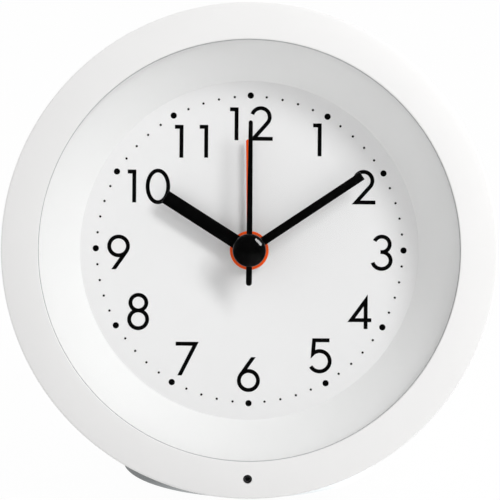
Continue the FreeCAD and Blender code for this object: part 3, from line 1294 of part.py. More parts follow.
def with_bore(hand, radius):
    return hand.cut(rod(AXIS, -CASE_DEPTH, 0, radius))


def make_alarm_hand():
    blade = hand_blade(ALARM_HAND_Z, ALARM_ANGLE, ALARM_LENGTH, ALARM_WIDTH, 0.0, ALARM_TIP)
    return with_bore(joined(blade, hub(ALARM_HAND_Z, ALARM_HUB)), ALARM_TUBE)


def make_hour_hand():
    blade = hand_blade(HOUR_HAND_Z, HOUR_ANGLE, HOUR_LENGTH, HOUR_WIDTH)
    return with_bore(joined(blade, hub(HOUR_HAND_Z, HOUR_HUB)), HOUR_TUBE)


def make_minute_hand():
    blade = hand_blade(MINUTE_HAND_Z, MINUTE_ANGLE, MINUTE_LENGTH, MINUTE_WIDTH)
    return with_bore(joined(blade, hub(MINUTE_HAND_Z, MINUTE_HUB)), MINUTE_TUBE)


def make_second_hand():
    half = SECOND_WIDTH / 2
    blade = hand_blade(SECOND_HAND_Z, SECOND_ANGLE, SECOND_LENGTH - half, SECOND_WIDTH,
                       half - SECOND_TAIL, 0.0, True)
    disc = rod(AXIS, SECOND_HAND_Z, SECOND_HAND_Z + HAND_THICKNESS, SECOND_HUB)
    return with_bore(joined(blade, disc), ARBOR_RADIUS)


def make_hand_cap():
    """The domed cap on the second hand's hub."""
    base = SECOND_HAND_Z + HAND_THICKNESS
    return domed_rod(AXIS, base, base + CAP_SKIRT, CAP_RADIUS, CAP_RISE)


# Foot, built upright on the table

def lean_back(shape):
    """Move a shape from the face frame to its place on the foot."""
    turn = FreeCAD.Rotation(Vec(1, 0, 0), 90 - FACE_TILT)
    place = FreeCAD.Placement(Vec(0, -FOOT_SETBACK, FACE_HEIGHT), turn)
    placed = shape.copy()
    placed.Placement = place.multiply(placed.Placement)
    return placed


FOOT_SCREW_PLACES = [(FOOT_SCREW_X, 0.0), (-FOOT_SCREW_X, 0.0)]
SCREW_SEAT = PAD_THICKNESS + FOOT_SCREW_HEAD_HEIGHT


def make_foot_base():
    corner = FOOT_EDGE * (1 - math.cos(math.radians(45)))
    profile = [
        (0.0, PAD_THICKNESS),
        (PAD_RADIUS + FIT, PAD_THICKNESS),
        (PAD_RADIUS + FIT, FOOT_LIFT),
        (FOOT_RADIUS - FOOT_EDGE, FOOT_LIFT),
        (FOOT_RADIUS - corner, FOOT_LIFT + corner),
        (FOOT_RADIUS, FOOT_LIFT + FOOT_EDGE),
        (FOOT_RADIUS, FOOT_RIM),
        (FOOT_RADIUS - corner, FOOT_RIM + FOOT_EDGE - corner),
        (FOOT_RADIUS - FOOT_EDGE, FOOT_RIM + FOOT_EDGE),
        (FOOT_CROWN_RADIUS, FOOT_CROWN),
        (0.0, FOOT_CROWN),
    ]
    base = turned(profile, corner_arcs=(4, 7))
    base = base.cut(lean_back(rounded_case(-RUN, -BEZEL_DEPTH, REAR - RUN, CASE_EDGE)))
    cuts = []
    for p in FOOT_SCREW_PLACES:
        cuts.append(rod(p, 0, FOOT_CROWN, FOOT_SCREW_RADIUS + THREAD_GAP))
        cuts.append(rod(p, 0, SCREW_SEAT, FOOT_SCREW_HEAD + FIT))
    return base.cut(cuts)


def make_foot_screws():
    screws = []
    for p in FOOT_SCREW_PLACES:
        head = rod(p, PAD_THICKNESS, SCREW_SEAT, FOOT_SCREW_HEAD)
        shank = rod(p, SCREW_SEAT, SCREW_SEAT + FOOT_SCREW_LENGTH, FOOT_SCREW_RADIUS)
        slots = cross_slots(p, PAD_THICKNESS, FOOT_SCREW_HEAD)
        screws.append(joined(head, shank).cut(slots))
    return Part.makeCompound(screws)


def make_foot_pad():
    return rod(AXIS, 0, PAD_THICKNESS, PAD_RADIUS)


def case_with_foot_bosses():
    """The rear case in place, with the upright bosses that take the foot's screws."""
    case = lean_back(make_rear_case())
    outside = lean_back(rounded_case(0.0, -BEZEL_DEPTH, REAR, CASE_EDGE))
    bosses = [rod(p, 0, FOOT_BOSS_TOP, FOOT_BOSS_RADIUS).common(outside)
              for p in FOOT_SCREW_PLACES]
    holes = [rod(p, 0, FOOT_BOSS_TOP - 1.0, FOOT_SCREW_RADIUS + THREAD_GAP)
             for p in FOOT_SCREW_PLACES]
    return joined(case, *bosses).cut(holes)


FACE_FRAME_PIECES = {
    "front_bezel": make_front_bezel,
    "sensor_window": make_sensor_window,
    "light_sensor": make_light_sensor,
    "lens": make_lens,
    "reflector_ring": make_reflector,
    "dial": make_dial,
    "chassis_plate": make_chassis,
    "case_screws": make_case_screws,
    "battery_cover": make_battery_cover,
    "battery": make_battery,
    "contact_positive": make_contact_positive,
    "contact_negative": make_contact_negative,
    "snooze_button": make_snooze_button,
    "snooze_springs": make_snooze_springs,
    "snooze_switch": make_snooze_switch,
    "alarm_switch_slider": make_alarm_switch_slider,
    "alarm_switch_body": make_alarm_switch_body,
    "time_set_knob": lambda: make_knob(TIME_SHAFT),
    "time_set_shaft": make_time_set_shaft,
    "alarm_set_knob": lambda: make_knob(ALARM_SHAFT),
    "alarm_set_shaft": make_alarm_set_shaft,
    "movement_housing": make_movement_housing,
    "movement_middle_plate": make_middle_plate,
    "movement_rear_plate": make_rear_plate,
    "movement_screws": make_movement_screws,
    "rotor": make_rotor,
    "step_wheel": make_step_wheel,
    "seconds_wheel": make_seconds_wheel,
    "third_wheel": make_third_wheel,
    "centre_wheel": make_centre_wheel,
    "cannon_pinion": make_cannon_pinion,
    "minute_wheel": make_minute_wheel,
    "hour_wheel": make_hour_wheel,
    "alarm_wheel": make_alarm_wheel,
    "stator_plate": make_stator,
    "coil_bobbin": make_bobbin,
    "coil_winding": make_winding,
    "movement_board": make_movement_board,
    "quartz_crystal": make_quartz_crystal,
    "movement_chip": make_movement_chip,
    "alarm_contact_spring": make_alarm_contact,
    "main_board": make_main_board,
    "board_screws": make_board_screws,
    "main_chip": make_main_chip,
    "capacitors": make_capacitors,
    "buzzer": make_buzzer,
    "buzzer_wires": make_buzzer_wires,
    "battery_wires": make_battery_wires,
    "sensor_wires": make_sensor_wires,
    "dial_lamps": make_dial_lamps,
    "alarm_hand": make_alarm_hand,
    "hour_hand": make_hour_hand,
    "minute_hand": make_minute_hand,
    "second_hand": make_second_hand,
    "hand_cap": make_hand_cap,
}

UPRIGHT_PIECES = {
    "rear_case": case_with_foot_bosses,
    "foot_base": make_foot_base,
    "foot_screws": make_foot_screws,
    "foot_pad": make_foot_pad,
}


def write(name, shape):
    shape.exportStep(f"parts/{name}.step")
    count = len(shape.Solids)
    print(f"{name}: {count} solid(s), {shape.Volume:.1f} mm3, valid {shape.isValid()}")


os.makedirs("parts", exist_ok=True)
for name, make in FACE_FRAME_PIECES.items():
    write(name, lean_back(make()))
for name, make in UPRIGHT_PIECES.items():
    write(name, make())
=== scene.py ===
import math

import bpy
from mathutils import Matrix, Vector


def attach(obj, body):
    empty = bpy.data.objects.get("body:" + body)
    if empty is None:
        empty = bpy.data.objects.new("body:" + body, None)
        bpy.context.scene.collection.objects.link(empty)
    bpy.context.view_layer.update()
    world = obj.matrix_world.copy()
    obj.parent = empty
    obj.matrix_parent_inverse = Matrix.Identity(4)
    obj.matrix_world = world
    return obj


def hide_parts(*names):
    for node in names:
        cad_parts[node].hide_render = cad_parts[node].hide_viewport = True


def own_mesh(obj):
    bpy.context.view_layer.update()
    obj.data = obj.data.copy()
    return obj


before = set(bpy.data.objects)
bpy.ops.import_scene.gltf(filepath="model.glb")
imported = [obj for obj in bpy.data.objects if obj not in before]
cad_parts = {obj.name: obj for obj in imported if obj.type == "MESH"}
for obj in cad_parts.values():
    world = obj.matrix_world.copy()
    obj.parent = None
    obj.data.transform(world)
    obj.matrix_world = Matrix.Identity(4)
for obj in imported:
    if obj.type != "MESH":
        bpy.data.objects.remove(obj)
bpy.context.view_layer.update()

bl_info = {
    "name": "Round Alarm Clock",
    "version": (1, 0, 0),
    "blender": (4, 5, 0),
    "location": "View3D > Sidebar > Alarm Clock",
    "description": "Dresses the round table alarm clock with its finished pieces and its stage",
    "category": "Object",
}

MM = 0.001

# The face's own axes start in the middle of the bezel's lip: x to the right, y upwards, z ahead
TILT = 12.0
FACE = (Matrix.Translation((0.0, -29.8 * MM, 52.7 * MM))
        @ Matrix.Rotation(math.radians(90 - TILT), 4, "X"))
UPRIGHT = Matrix.Identity(4)
ALONG_Y = Matrix.Rotation(math.radians(-90), 4, "X")

WALL = 2.0 * MM          # wall of the bezel and of the rear case
MERGE = 2e-6             # vertices closer than this become one
NUDGE = 1e-7             # slack for picking vertices that lie on a limit


# Properties

def length(name, millimetres, description):
    """A length property whose default is written in millimetres."""
    return bpy.props.FloatProperty(name=name, description=description, default=millimetres * MM,
                                   min=0.0, precision=5, unit="LENGTH")


def colour(name, default, description):
    return bpy.props.FloatVectorProperty(name=name, description=description, default=default,
                                         size=3, min=0.0, max=1.0, subtype="COLOR")


def degrees(name, default, description):
    return bpy.props.FloatProperty(name=name, description=description,
                                   default=math.radians(default), subtype="ANGLE")


class ClockSizes(bpy.types.PropertyGroup):
    bezel_radius: length("Bezel radius", 50.0, "Outer radius of the front bezel")
    bezel_draft: length("Bezel draft", 0.4, "How much narrower the bezel's side is at its front")
    bezel_depth: length("Bezel depth", 9.0, "Front bezel from its lip to its rear edge")
    bezel_fall: length("Bezel fall", 1.1, "How far the bezel's front slopes back")
    bezel_edge: length("Bezel edge", 0.45, "Radius of the bezel's rounded edge")
    lip_radius: length("Lip radius", 42.14, "Inner radius of the bezel, round the lens")
    lip_thickness: length("Lip thickness", 0.7, "Bezel lip in front of the lens")
    lens_radius: length("Lens radius", 43.4, "Radius of the clear lens")
    lens_thickness: length("Lens thickness", 1.5, "Thickness of the clear lens")
    mouth_radius: length("Reflector mouth", 42.41, "Radius of the reflector behind the lens")
    dial_radius: length("Dial radius", 34.4, "Radius of the dial inside the reflector")
    dial_depth: length("Dial depth", 11.0, "Dial behind the bezel's lip")
    print_rise: length("Print rise", 0.21, "Printed dial above the hand axis")
    print_side: length("Print side", 0.08, "Printed dial to the right of the hand axis")
    dot_ring: length("Dot ring", 31.1, "Radius of the ring of minute dots")
    hour_ring: length("Hour ring", 31.28, "Radius of the ring of hour dots")
    hour_dot: length("Hour dot", 1.27, "Diameter of an hour dot")
    minute_dot: length("Minute dot", 0.48, "Diameter of a minute dot")
    stroke: length("Numeral stroke", 0.79, "Width of the numerals' strokes")
    ink_thickness: length("Ink thickness", 0.03, "How far the print stands up from the dial")
    hand_thickness: length("Hand thickness", 0.5, "Thickness of a hand")
    hand_bevel: length("Hand bevel", 0.1, "Bevel along the edges of the hands")
    cap_radius: length("Cap radius", 3.36, "Radius of the domed cap over the hands")
    case_front: length("Case front radius", 49.2, "Radius of the rear case behind the bezel")
    case_rear: length("Case rear radius", 40.0, "Radius of the rear case at its back")
    case_depth: length("Case depth", 50.0, "Back of the rear case behind the bezel's lip")
    knob_radius: length("Knob radius", 5.5, "Radius of a setting knob")
    foot_radius: length("Foot radius", 26.6, "Radius of the foot")
    pad_radius: length("Pad radius", 25.2, "Radius of the pad under the foot")
    hour_angle: degrees("Hour hand", 302.2, "Hour hand, clockwise from 12")
    minute_angle: degrees("Minute hand", 56.1, "Minute hand, clockwise from 12")
    second_angle: degrees("Second hand", 0.25, "Second hand, clockwise from 12")
    alarm_angle: degrees("Alarm hand", 359.1, "Alarm hand, clockwise from 12")


class ClockColours(bpy.types.PropertyGroup):
    case: colour("Case", (0.895, 0.89, 0.885), "White of the moulded case")
    reflector: colour("Reflector", (0.945, 0.94, 0.935), "White of the reflector")
    dial: colour("Dial", (0.94, 0.93, 0.93), "White of the dial's paper")
    ink: colour("Ink", (0.001, 0.001, 0.001), "Black of the printed dial")
    hands: colour("Hands", (0.0012, 0.0012, 0.0012), "Black of the hands")
    alarm: colour("Alarm hand", (0.93, 0.09, 0.004), "Orange of the alarm hand")
    foot: colour("Foot", (0.78, 0.81, 0.82), "Silver grey of the foot")


class ClockStage(bpy.types.PropertyGroup):
    camera_distance: length("Camera distance", 520.0, "Camera in front of the bezel's lip")
    camera_roll: degrees("Camera roll", 0.43, "Turn of the camera about its line of sight")
    key_light: bpy.props.FloatProperty(
        name="Key light", description="Light from the upper right, on a facing surface",
        default=0.51, min=0.0)
    ambient: bpy.props.FloatProperty(
        name="Ambient", description="Light from all round", default=0.565, min=0.0)


def sizes():
    return bpy.context.scene.clock_sizes


def colours():
    return bpy.context.scene.clock_colours


# Modelling

def mm(*numbers):
    """Millimetres in metres."""
    return tuple(number * MM for number in numbers)


def shift(x=0.0, y=0.0, z=0.0):
    """A move by millimetres."""
    return Matrix.Translation(mm(x, y, z))


def around(centre, half):
    return centre - half, centre + half


def pick(*objects):
    """Leave only these objects selected, the first of them active, in object mode."""
    if bpy.context.object and bpy.context.object.mode != "OBJECT":
        bpy.ops.object.mode_set(mode="OBJECT")
    bpy.ops.object.select_all(action="DESELECT")
    for obj in objects:
        obj.select_set(True)
    if objects:
        bpy.context.view_layer.objects.active = objects[0]


def started(name):
    """Name the primitive that was just added and open it for editing, all of it selected."""
    obj = bpy.context.object
    obj.name = obj.data.name = name
    bpy.ops.object.transform_apply(location=True, rotation=True, scale=True)
    bpy.ops.object.mode_set(mode="EDIT")
    bpy.ops.mesh.select_all(action="SELECT")
    return obj


def chosen(obj, test=lambda co: True):
    """Open an object for editing with only the vertices that pass a test selected."""
    pick(obj)
    for vertex in obj.data.vertices:
        vertex.select = test(vertex.co)
    for part in (*obj.data.edges, *obj.data.polygons):
        part.select = all(obj.data.vertices[i].select for i in part.vertices)
    bpy.ops.object.mode_set(mode="EDIT")
    return obj


def extrude(x, y, z):
    """Extrude what is selected and move the new part."""
    bpy.ops.mesh.extrude_region_move(TRANSFORM_OT_translate={"value": (x, y, z)})


def closed_up(obj):
    """Merge doubles, point the faces outwards and leave edit mode."""
    bpy.ops.mesh.select_all(action="SELECT")
    bpy.ops.mesh.remove_doubles(threshold=MERGE)
    bpy.ops.mesh.normals_make_consistent(inside=False)
    bpy.ops.object.mode_set(mode="OBJECT")
    return obj


def rounded(points, corners, steps=6):
    """A closed profile with the numbered corners turned into arcs of the radii given."""
    result = []
    for i, point in enumerate(points):
        if i not in corners:
            result.append(tuple(point))
            continue
        here = Vector(point)
        before = (Vector(points[i - 1]) - here).normalized()
        after = (Vector(points[(i + 1) % len(points)]) - here).normalized()
        half = before.angle(after) / 2
        centre = here + (before + after).normalized() * corners[i] / math.sin(half)
        reach = corners[i] / math.tan(half)
        start, end = here + before * reach - centre, here + after * reach - centre
        for k in range(steps + 1):
            along = start.lerp(end, k / steps).normalized() * corners[i]
            result.append(tuple(centre + along))
    return result


def arc(centre, radii, start, end):
    """Points along an ellipse between two angles in degrees, about eight degrees apart."""
    count = max(2, round(abs(end - start) / 8))
    angles = [math.radians(start + (end - start) * k / count) for k in range(count + 1)]
    return [(centre[0] + radii[0] * math.cos(a), centre[1] + radii[1] * math.sin(a))
            for a in angles]


def arc_through(first, middle, last, steps):
    """Points along the circle through three points, both ends included."""
    a, b, c = Vector(first), Vector(middle), Vector(last)
    d = 2 * (a.x * (b.y - c.y) + b.x * (c.y - a.y) + c.x * (a.y - b.y))
    sq = [p.dot(p) for p in (a, b, c)]
    centre = Vector(((sq[0] * (b.y - c.y) + sq[1] * (c.y - a.y) + sq[2] * (a.y - b.y)) / d,
                     (sq[0] * (c.x - b.x) + sq[1] * (a.x - c.x) + sq[2] * (b.x - a.x)) / d))
    radius = (a - centre).length
    return [tuple(centre + (a - centre).lerp(c - centre, k / steps).normalized() * radius)
            for k in range(steps + 1)]


def turned(name, profile, segments=180, closed=True):
    """Turn a profile of (radius, z) points about the z axis.

    The profile is drawn by extruding a single vertex again and again. A closed profile makes a
    ring; an open one starts and ends on the axis.
    """
    points = list(profile) + ([profile[0]] if closed else [])
    pick()
    bpy.ops.mesh.primitive_plane_add(size=MM, location=(points[0][0], 0.0, points[0][1]))
    obj = started(name)
    bpy.ops.mesh.merge(type="CENTER")
    for before, after in zip(points, points[1:]):
        extrude(after[0] - before[0], 0.0, after[1] - before[1])
    bpy.ops.mesh.select_all(action="SELECT")
    bpy.ops.mesh.remove_doubles(threshold=MERGE)
    bpy.ops.mesh.select_all(action="SELECT")
    bpy.ops.mesh.spin(steps=segments, angle=2 * math.pi, center=(0, 0, 0), axis=(0, 0, 1))
    return closed_up(obj)


def rod(name, radius, start, end, segments):
    """A round bar along z, measured in millimetres."""
    points = [mm(0.0, start), mm(radius, start), mm(radius, end), mm(0.0, end)]
    return turned(name, points, segments, closed=False)


def disc(name, radius, sides, z=0.0):
    """A flat disc, open for editing."""
    pick()
    bpy.ops.mesh.primitive_circle_add(vertices=sides, radius=radius, fill_type="NGON",
                                      location=(0, 0, z))
    return started(name)


def box(name, *spans):
    """A box between two values in millimetres on each axis."""
    pick()
    spans = [mm(*span) for span in spans]
    bpy.ops.mesh.primitive_cube_add(size=1, location=[(low + high) / 2 for low, high in spans],
                                    scale=[high - low for low, high in spans])
    return closed_up(started(name))


def moved(obj, place):
    """Apply a place to an object's mesh."""
    pick(obj)
    obj.matrix_world = place
    bpy.ops.object.transform_apply(location=True, rotation=True, scale=True)
    return obj


def joined(name, objects):
    pick(*objects)
    bpy.ops.object.join()
    obj = bpy.context.object
    obj.name = obj.data.name = name
    return obj


def copied(obj, place):
    """A copy of an object with its own mesh, moved to a place."""
    pick(obj)
    bpy.ops.object.duplicate(linked=False)
    return moved(bpy.context.object, place)


def modified(obj, kind, **settings):
    """Apply one modifier to an object."""
    pick(obj)
    modifier = obj.modifiers.new(kind.title(), kind)
    for key, value in settings.items():
        setattr(modifier, key, value)
    bpy.ops.object.modifier_apply(modifier=modifier.name)
    return obj


def combined(obj, tool, operation):
    """Cut an object with a tool, join the tool to it or keep what they share."""
    modified(obj, "BOOLEAN", operation=operation, solver="EXACT", object=tool)
    bpy.data.objects.remove(tool)
    return obj


def bevelled(obj, width, segments=2, angle=30):
    return modified(obj, "BEVEL", width=width, segments=segments, limit_method="ANGLE",
                    angle_limit=math.radians(angle), miter_outer="MITER_ARC")


def fitted(obj, body, finish_name, slot, *nodes, place=FACE, angle=35):
    """Set a finished piece in its place on the clock, with its finish, riding on a body."""
    moved(obj, place)
    bpy.ops.object.shade_smooth_by_angle(angle=math.radians(angle))
    obj.data.materials.clear()
    obj.data.materials.append(finish(finish_name))
    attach(obj, body)
    if nodes:
        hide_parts(*nodes)
    return obj


# Finishes

def sum_method(operation, swapped=False):
    """A method that does one sum with a socket and a number or another socket."""
    def method(self, other):
        pair = [other, self] if swapped else [self, other]
        return self.shading.node("ShaderNodeMath", pair, operation=operation)
    return method


class Value:
    """A socket that takes part in sums."""

    def __init__(self, shading, socket):
        self.shading = shading
        self.socket = socket

    __add__ = sum_method("ADD")
    __radd__ = sum_method("ADD", swapped=True)
    __rsub__ = sum_method("SUBTRACT", swapped=True)
    __sub__ = sum_method("SUBTRACT")
    __mul__ = sum_method("MULTIPLY")
    __rmul__ = sum_method("MULTIPLY", swapped=True)
    __pow__ = sum_method("POWER")
    larger = sum_method("MAXIMUM")


class Shading:
    """The nodes of one material or of the world."""

    def __init__(self, tree):
        self.tree = tree
        self.places = {}
        tree.nodes.clear()

    def node(self, kind, inputs=(), output=0, **settings):
        """Add a node: its settings first, then its sockets' values or links."""
        node = self.tree.nodes.new(kind)
        for key, value in settings.items():
            setattr(node, key, value)
        for key, value in (inputs.items() if isinstance(inputs, dict) else enumerate(inputs)):
            if isinstance(value, Value):
                self.tree.links.new(value.socket, node.inputs[key])
            elif value is not None:
                node.inputs[key].default_value = value
        return Value(self, node.outputs[output]) if node.outputs else None

    def place(self, stretch=(1.0, 1.0, 1.0)):
        """Object coordinates in millimetres, stretched."""
        if stretch not in self.places:
            coordinates = self.node("ShaderNodeTexCoord", output="Object")
            self.places[stretch] = self.node("ShaderNodeMapping", {
                "Vector": coordinates, "Scale": tuple(s / MM for s in stretch)})
        return self.places[stretch]

    def along(self, axis):
        """The place in millimetres along the x, y or z axis."""
        return self.node("ShaderNodeSeparateXYZ", [self.place()], output="XYZ".index(axis))

    def noise(self, scale, detail=2.0, roughness=0.5, stretch=(1.0, 1.0, 1.0)):
        return self.node("ShaderNodeTexNoise", {
            "Vector": self.place(stretch), "Scale": scale, "Detail": detail,
            "Roughness": roughness})

    def between(self, value, low, high, to_low=0.0, to_high=1.0):
        """A value's way from low to high, held at both ends."""
        return self.node("ShaderNodeMapRange", {
            "Value": value, "From Min": low, "From Max": high, "To Min": to_low,
            "To Max": to_high})

    def blend(self, factor, low, high):
        """A colour between two colours."""
        low, high = [c if isinstance(c, Value) else (*c, 1.0) for c in (low, high)]
        return self.node("ShaderNodeMix", {0: factor, 6: low, 7: high}, output=2,
                         data_type="RGBA")

    def tones(self, factor, rgb, dark, light):
        """A colour between a darker and a lighter tone of itself."""
        return self.blend(factor, shade(rgb, dark), shade(rgb, light))

    def bump(self, height, depth):
        """A bump whose full height is a depth in metres."""
        return self.node("ShaderNodeBump", {
            "Height": height, "Distance": depth, "Strength": 1.0})

    def rays(self):
        """Whether a ray comes from the camera, a mirror or a clear piece."""
        return [self.node("ShaderNodeLightPath", output=name)
                for name in ("Is Camera Ray", "Is Glossy Ray", "Is Transmission Ray")]

    def surface(self, **sockets):
        """The material's shader, with sockets named in lower case."""
        names = {key.replace("_", " ").title().replace("Ior", "IOR"): value
                 for key, value in sockets.items()}
        self.finished(self.node("ShaderNodeBsdfPrincipled", names))

    def finished(self, shader, kind="ShaderNodeOutputMaterial"):
        """Lead a shader to the output."""
        self.node(kind, {"Surface": shader})


def shade(rgb, factor):
    """A colour made lighter or darker by a factor."""
    return tuple(min(1.0, c * factor) for c in rgb)


def moulded(s, rgb, roughness, grain_depth=6e-6, coat=0.0):
    """Injection-moulded plastic: faint flow marks, fine spark-eroded grain, satin gloss."""
    grain = s.noise(5.5, roughness=0.6)
    wear = s.between(s.noise(0.9, detail=5.0, roughness=0.65), 0.62, 0.8)
    s.surface(base_color=s.tones(s.noise(0.06, detail=3.0), rgb, 0.975, 1.012),
              roughness=roughness + 0.05 * (grain - 0.5) + 0.06 * wear,
              normal=s.bump(grain, grain_depth), specular_ior_level=0.5, coat_weight=coat,
              coat_roughness=0.25)


def dial_paper(s):
    """Matt printed card: fine fibres in tone and height."""
    fibre = s.noise(7.0, detail=4.0, roughness=0.7)
    cloud = s.noise(0.09)
    s.surface(base_color=s.tones(0.5 * fibre + 0.5 * cloud, colours().dial, 0.985, 1.01),
              roughness=0.62 + 0.1 * (fibre - 0.5), normal=s.bump(fibre, 5e-6),
              specular_ior_level=0.25)


def ink(s):
    """Printed black, a little uneven in its gloss."""
    grain = s.noise(9.0, detail=3.0)
    s.surface(base_color=s.tones(grain, colours().ink, 0.7, 1.6),
              roughness=0.6 + 0.15 * (grain - 0.5), specular_ior_level=0.05)


def painted(s, rgb, roughness, specular):
    """Sprayed metal: slight orange peel and dust in the gloss."""
    peel = s.noise(3.2, roughness=0.55)
    s.surface(base_color=s.tones(peel, rgb, 0.93, 1.06),
              roughness=roughness + 0.08 * (s.noise(14.0) - 0.5), normal=s.bump(peel, 4e-6),
              specular_ior_level=specular)


def clear_plastic(s):
    """Clear lens: see-through, with a weak reflection that grows towards the edge."""
    away = s.node("ShaderNodeLayerWeight", {"Blend": 0.5}, output="Facing")
    grazing = 0.012 + 0.9 * away ** 5.0
    clear = s.node("ShaderNodeBsdfTransparent", {"Color": (0.995, 0.998, 0.998, 1.0)})
    haze = s.noise(0.2, detail=3.0)
    gloss = s.node("ShaderNodeBsdfGlossy", {"Roughness": 0.03 + 0.02 * haze})
    s.finished(s.node("ShaderNodeMixShader", {0: grazing, 1: clear, 2: gloss}))


def bare_metal(s, rgb, roughness):
    """Rolled or turned metal with fine brush lines."""
    brushed = s.noise(3.0, detail=4.0, roughness=0.6, stretch=(0.4, 6.0, 0.4))
    stain = s.noise(0.35, detail=3.0)
    s.surface(base_color=s.tones(0.6 * brushed + 0.4 * stain, rgb, 0.86, 1.08),
              roughness=roughness + 0.16 * (brushed - 0.5), metallic=1.0,
              normal=s.bump(brushed, 4e-6))


def rubber(s):
    """Dull black rubber with fine pores."""
    pores = s.noise(6.0, detail=4.0, roughness=0.7)
    dust = s.between(s.noise(0.5, detail=4.0), 0.45, 0.75)
    s.surface(base_color=s.blend(dust, (0.022, 0.022, 0.023), (0.05, 0.05, 0.05)),
              roughness=0.8 + 0.12 * (pores - 0.5), normal=s.bump(pores, 3e-5),
              specular_ior_level=0.3)


def silver_foot(s):
    """Plastic under a satin silver plating: fine flake, faint flow marks."""
    flake = s.noise(11.0, roughness=0.6)
    flow = s.noise(0.1, detail=3.0)
    s.surface(base_color=s.tones(0.5 * flake + 0.5 * flow, colours().foot, 0.96, 1.04),
              roughness=0.2 + 0.08 * (flake - 0.5), metallic=0.9 + 0.1 * flake,
              normal=s.bump(flake, 2e-6))


def circuit_board(s):
    """Green solder mask over a faint pattern of tracks."""
    track = s.node("ShaderNodeTexBrick", {
        "Vector": s.place(), "Color1": (0.012, 0.10, 0.035, 1), "Color2": (0.016, 0.13, 0.05, 1),
        "Mortar": (0.03, 0.20, 0.08, 1), "Scale": 0.35, "Mortar Size": 0.03})
    weave = s.noise(4.0)
    s.surface(base_color=track, roughness=0.3 + 0.1 * (weave - 0.5), normal=s.bump(weave, 5e-6))


def winding(s):
    """Enamelled copper wire laid in fine turns."""
    turns = s.node("ShaderNodeTexWave", {"Vector": s.place(), "Scale": 2.2, "Distortion": 0.4},
                   output="Fac", bands_direction="Y")
    s.surface(base_color=s.blend(turns, (0.28, 0.09, 0.03), (0.72, 0.33, 0.16)),
              roughness=0.3 + 0.1 * turns, metallic=0.9, normal=s.bump(turns, 6e-5))


def battery_can(s):
    """A plain two-tone battery sleeve with its end band, under clear film."""
    band = s.between(s.along("X"), 14.0, 14.3)
    scuff = s.noise(0.25, detail=3.0)
    sleeve = s.blend(band, (0.09, 0.10, 0.11), (0.62, 0.60, 0.55))
    s.surface(base_color=s.blend(0.06 * scuff, sleeve, (0.45, 0.45, 0.45)),
              roughness=0.3 + 0.08 * (scuff - 0.5), metallic=0.5)


def studio_floor(s):
    """Plain white to look at, matt for light and shadow, and with painted shade for mirrors where
    the foot mirrors it.
    """
    paint = s.node("ShaderNodeBsdfDiffuse", {
        "Color": s.blend(s.noise(0.002), (0.88, 0.88, 0.88), (0.90, 0.90, 0.90))})
    camera, gloss, clear = s.rays()
    seen = camera.larger(gloss).larger(clear)
    # Painted reflection shade: to mirror rays the floor in front of the clock is darker, so the
    # foot and the cap reflect it dark
    painted_reflection_level = (s.between(s.along("Y"), -58.0, -40.0, 0.06, 1.0)
                * s.between(s.along("X"), -24.0, 20.0, 0.24, 1.35))
    white = s.node("ShaderNodeEmission", {
        "Color": (1, 1, 1, 1), "Strength": 1.0 - gloss * (1.0 - painted_reflection_level)})
    s.finished(s.node("ShaderNodeMixShader", {0: 0.97 * seen, 1: paint, 2: white}))


FINISHES = {
    "case_plastic": lambda s: moulded(s, colours().case, 0.42),
    "reflector_plastic": lambda s: moulded(s, colours().reflector, 0.5, grain_depth=4e-6),
    "knob_plastic": lambda s: moulded(s, shade(colours().case, 0.94), 0.42, grain_depth=1e-5),
    "natural_plastic": lambda s: moulded(s, (0.74, 0.72, 0.65), 0.45),
    "wheel_plastic": lambda s: moulded(s, (0.80, 0.77, 0.64), 0.4),
    "black_plastic": lambda s: moulded(s, (0.022, 0.022, 0.023), 0.42, grain_depth=1e-5),
    "lamp_plastic": lambda s: moulded(s, (0.85, 0.86, 0.78), 0.2, coat=0.6),
    "wire_sleeve": lambda s: moulded(s, (0.45, 0.03, 0.02), 0.4),
    "window_plastic": lambda s: moulded(s, (0.004, 0.004, 0.005), 0.12, 1e-6, coat=0.5),
    # Painted shade: the mid grey of the ring that stands for the dark gap line round the lens
    "gap_shade_grey": lambda s: moulded(s, (0.5, 0.5, 0.51), 0.5),
    "clear_plastic": clear_plastic,
    "dial_paper": dial_paper,
    "dial_ink": ink,
    "black_paint": lambda s: painted(s, colours().hands, 0.22, specular=0.25),
    "cap_gloss": lambda s: painted(s, colours().hands, 0.06, specular=0.45),
    "orange_paint": lambda s: painted(s, colours().alarm, 0.42, specular=0.15),
    "silver_foot": silver_foot,
    "pad_rubber": rubber,
    "brass": lambda s: bare_metal(s, (0.72, 0.52, 0.22), 0.32),
    "steel": lambda s: bare_metal(s, (0.58, 0.58, 0.59), 0.28),
    "copper_winding": winding,
    "circuit_board": circuit_board,
    "battery_sleeve": battery_can,
    "studio_floor": studio_floor,
}


def finish(name):
    """A finish by name, made when it is first asked for."""
    material = bpy.data.materials.get(name)
    if not material:
        material = bpy.data.materials.new(name)
        material.use_nodes = True
        FINISHES[name](Shading(material.node_tree))
    return material


# Front of the clock

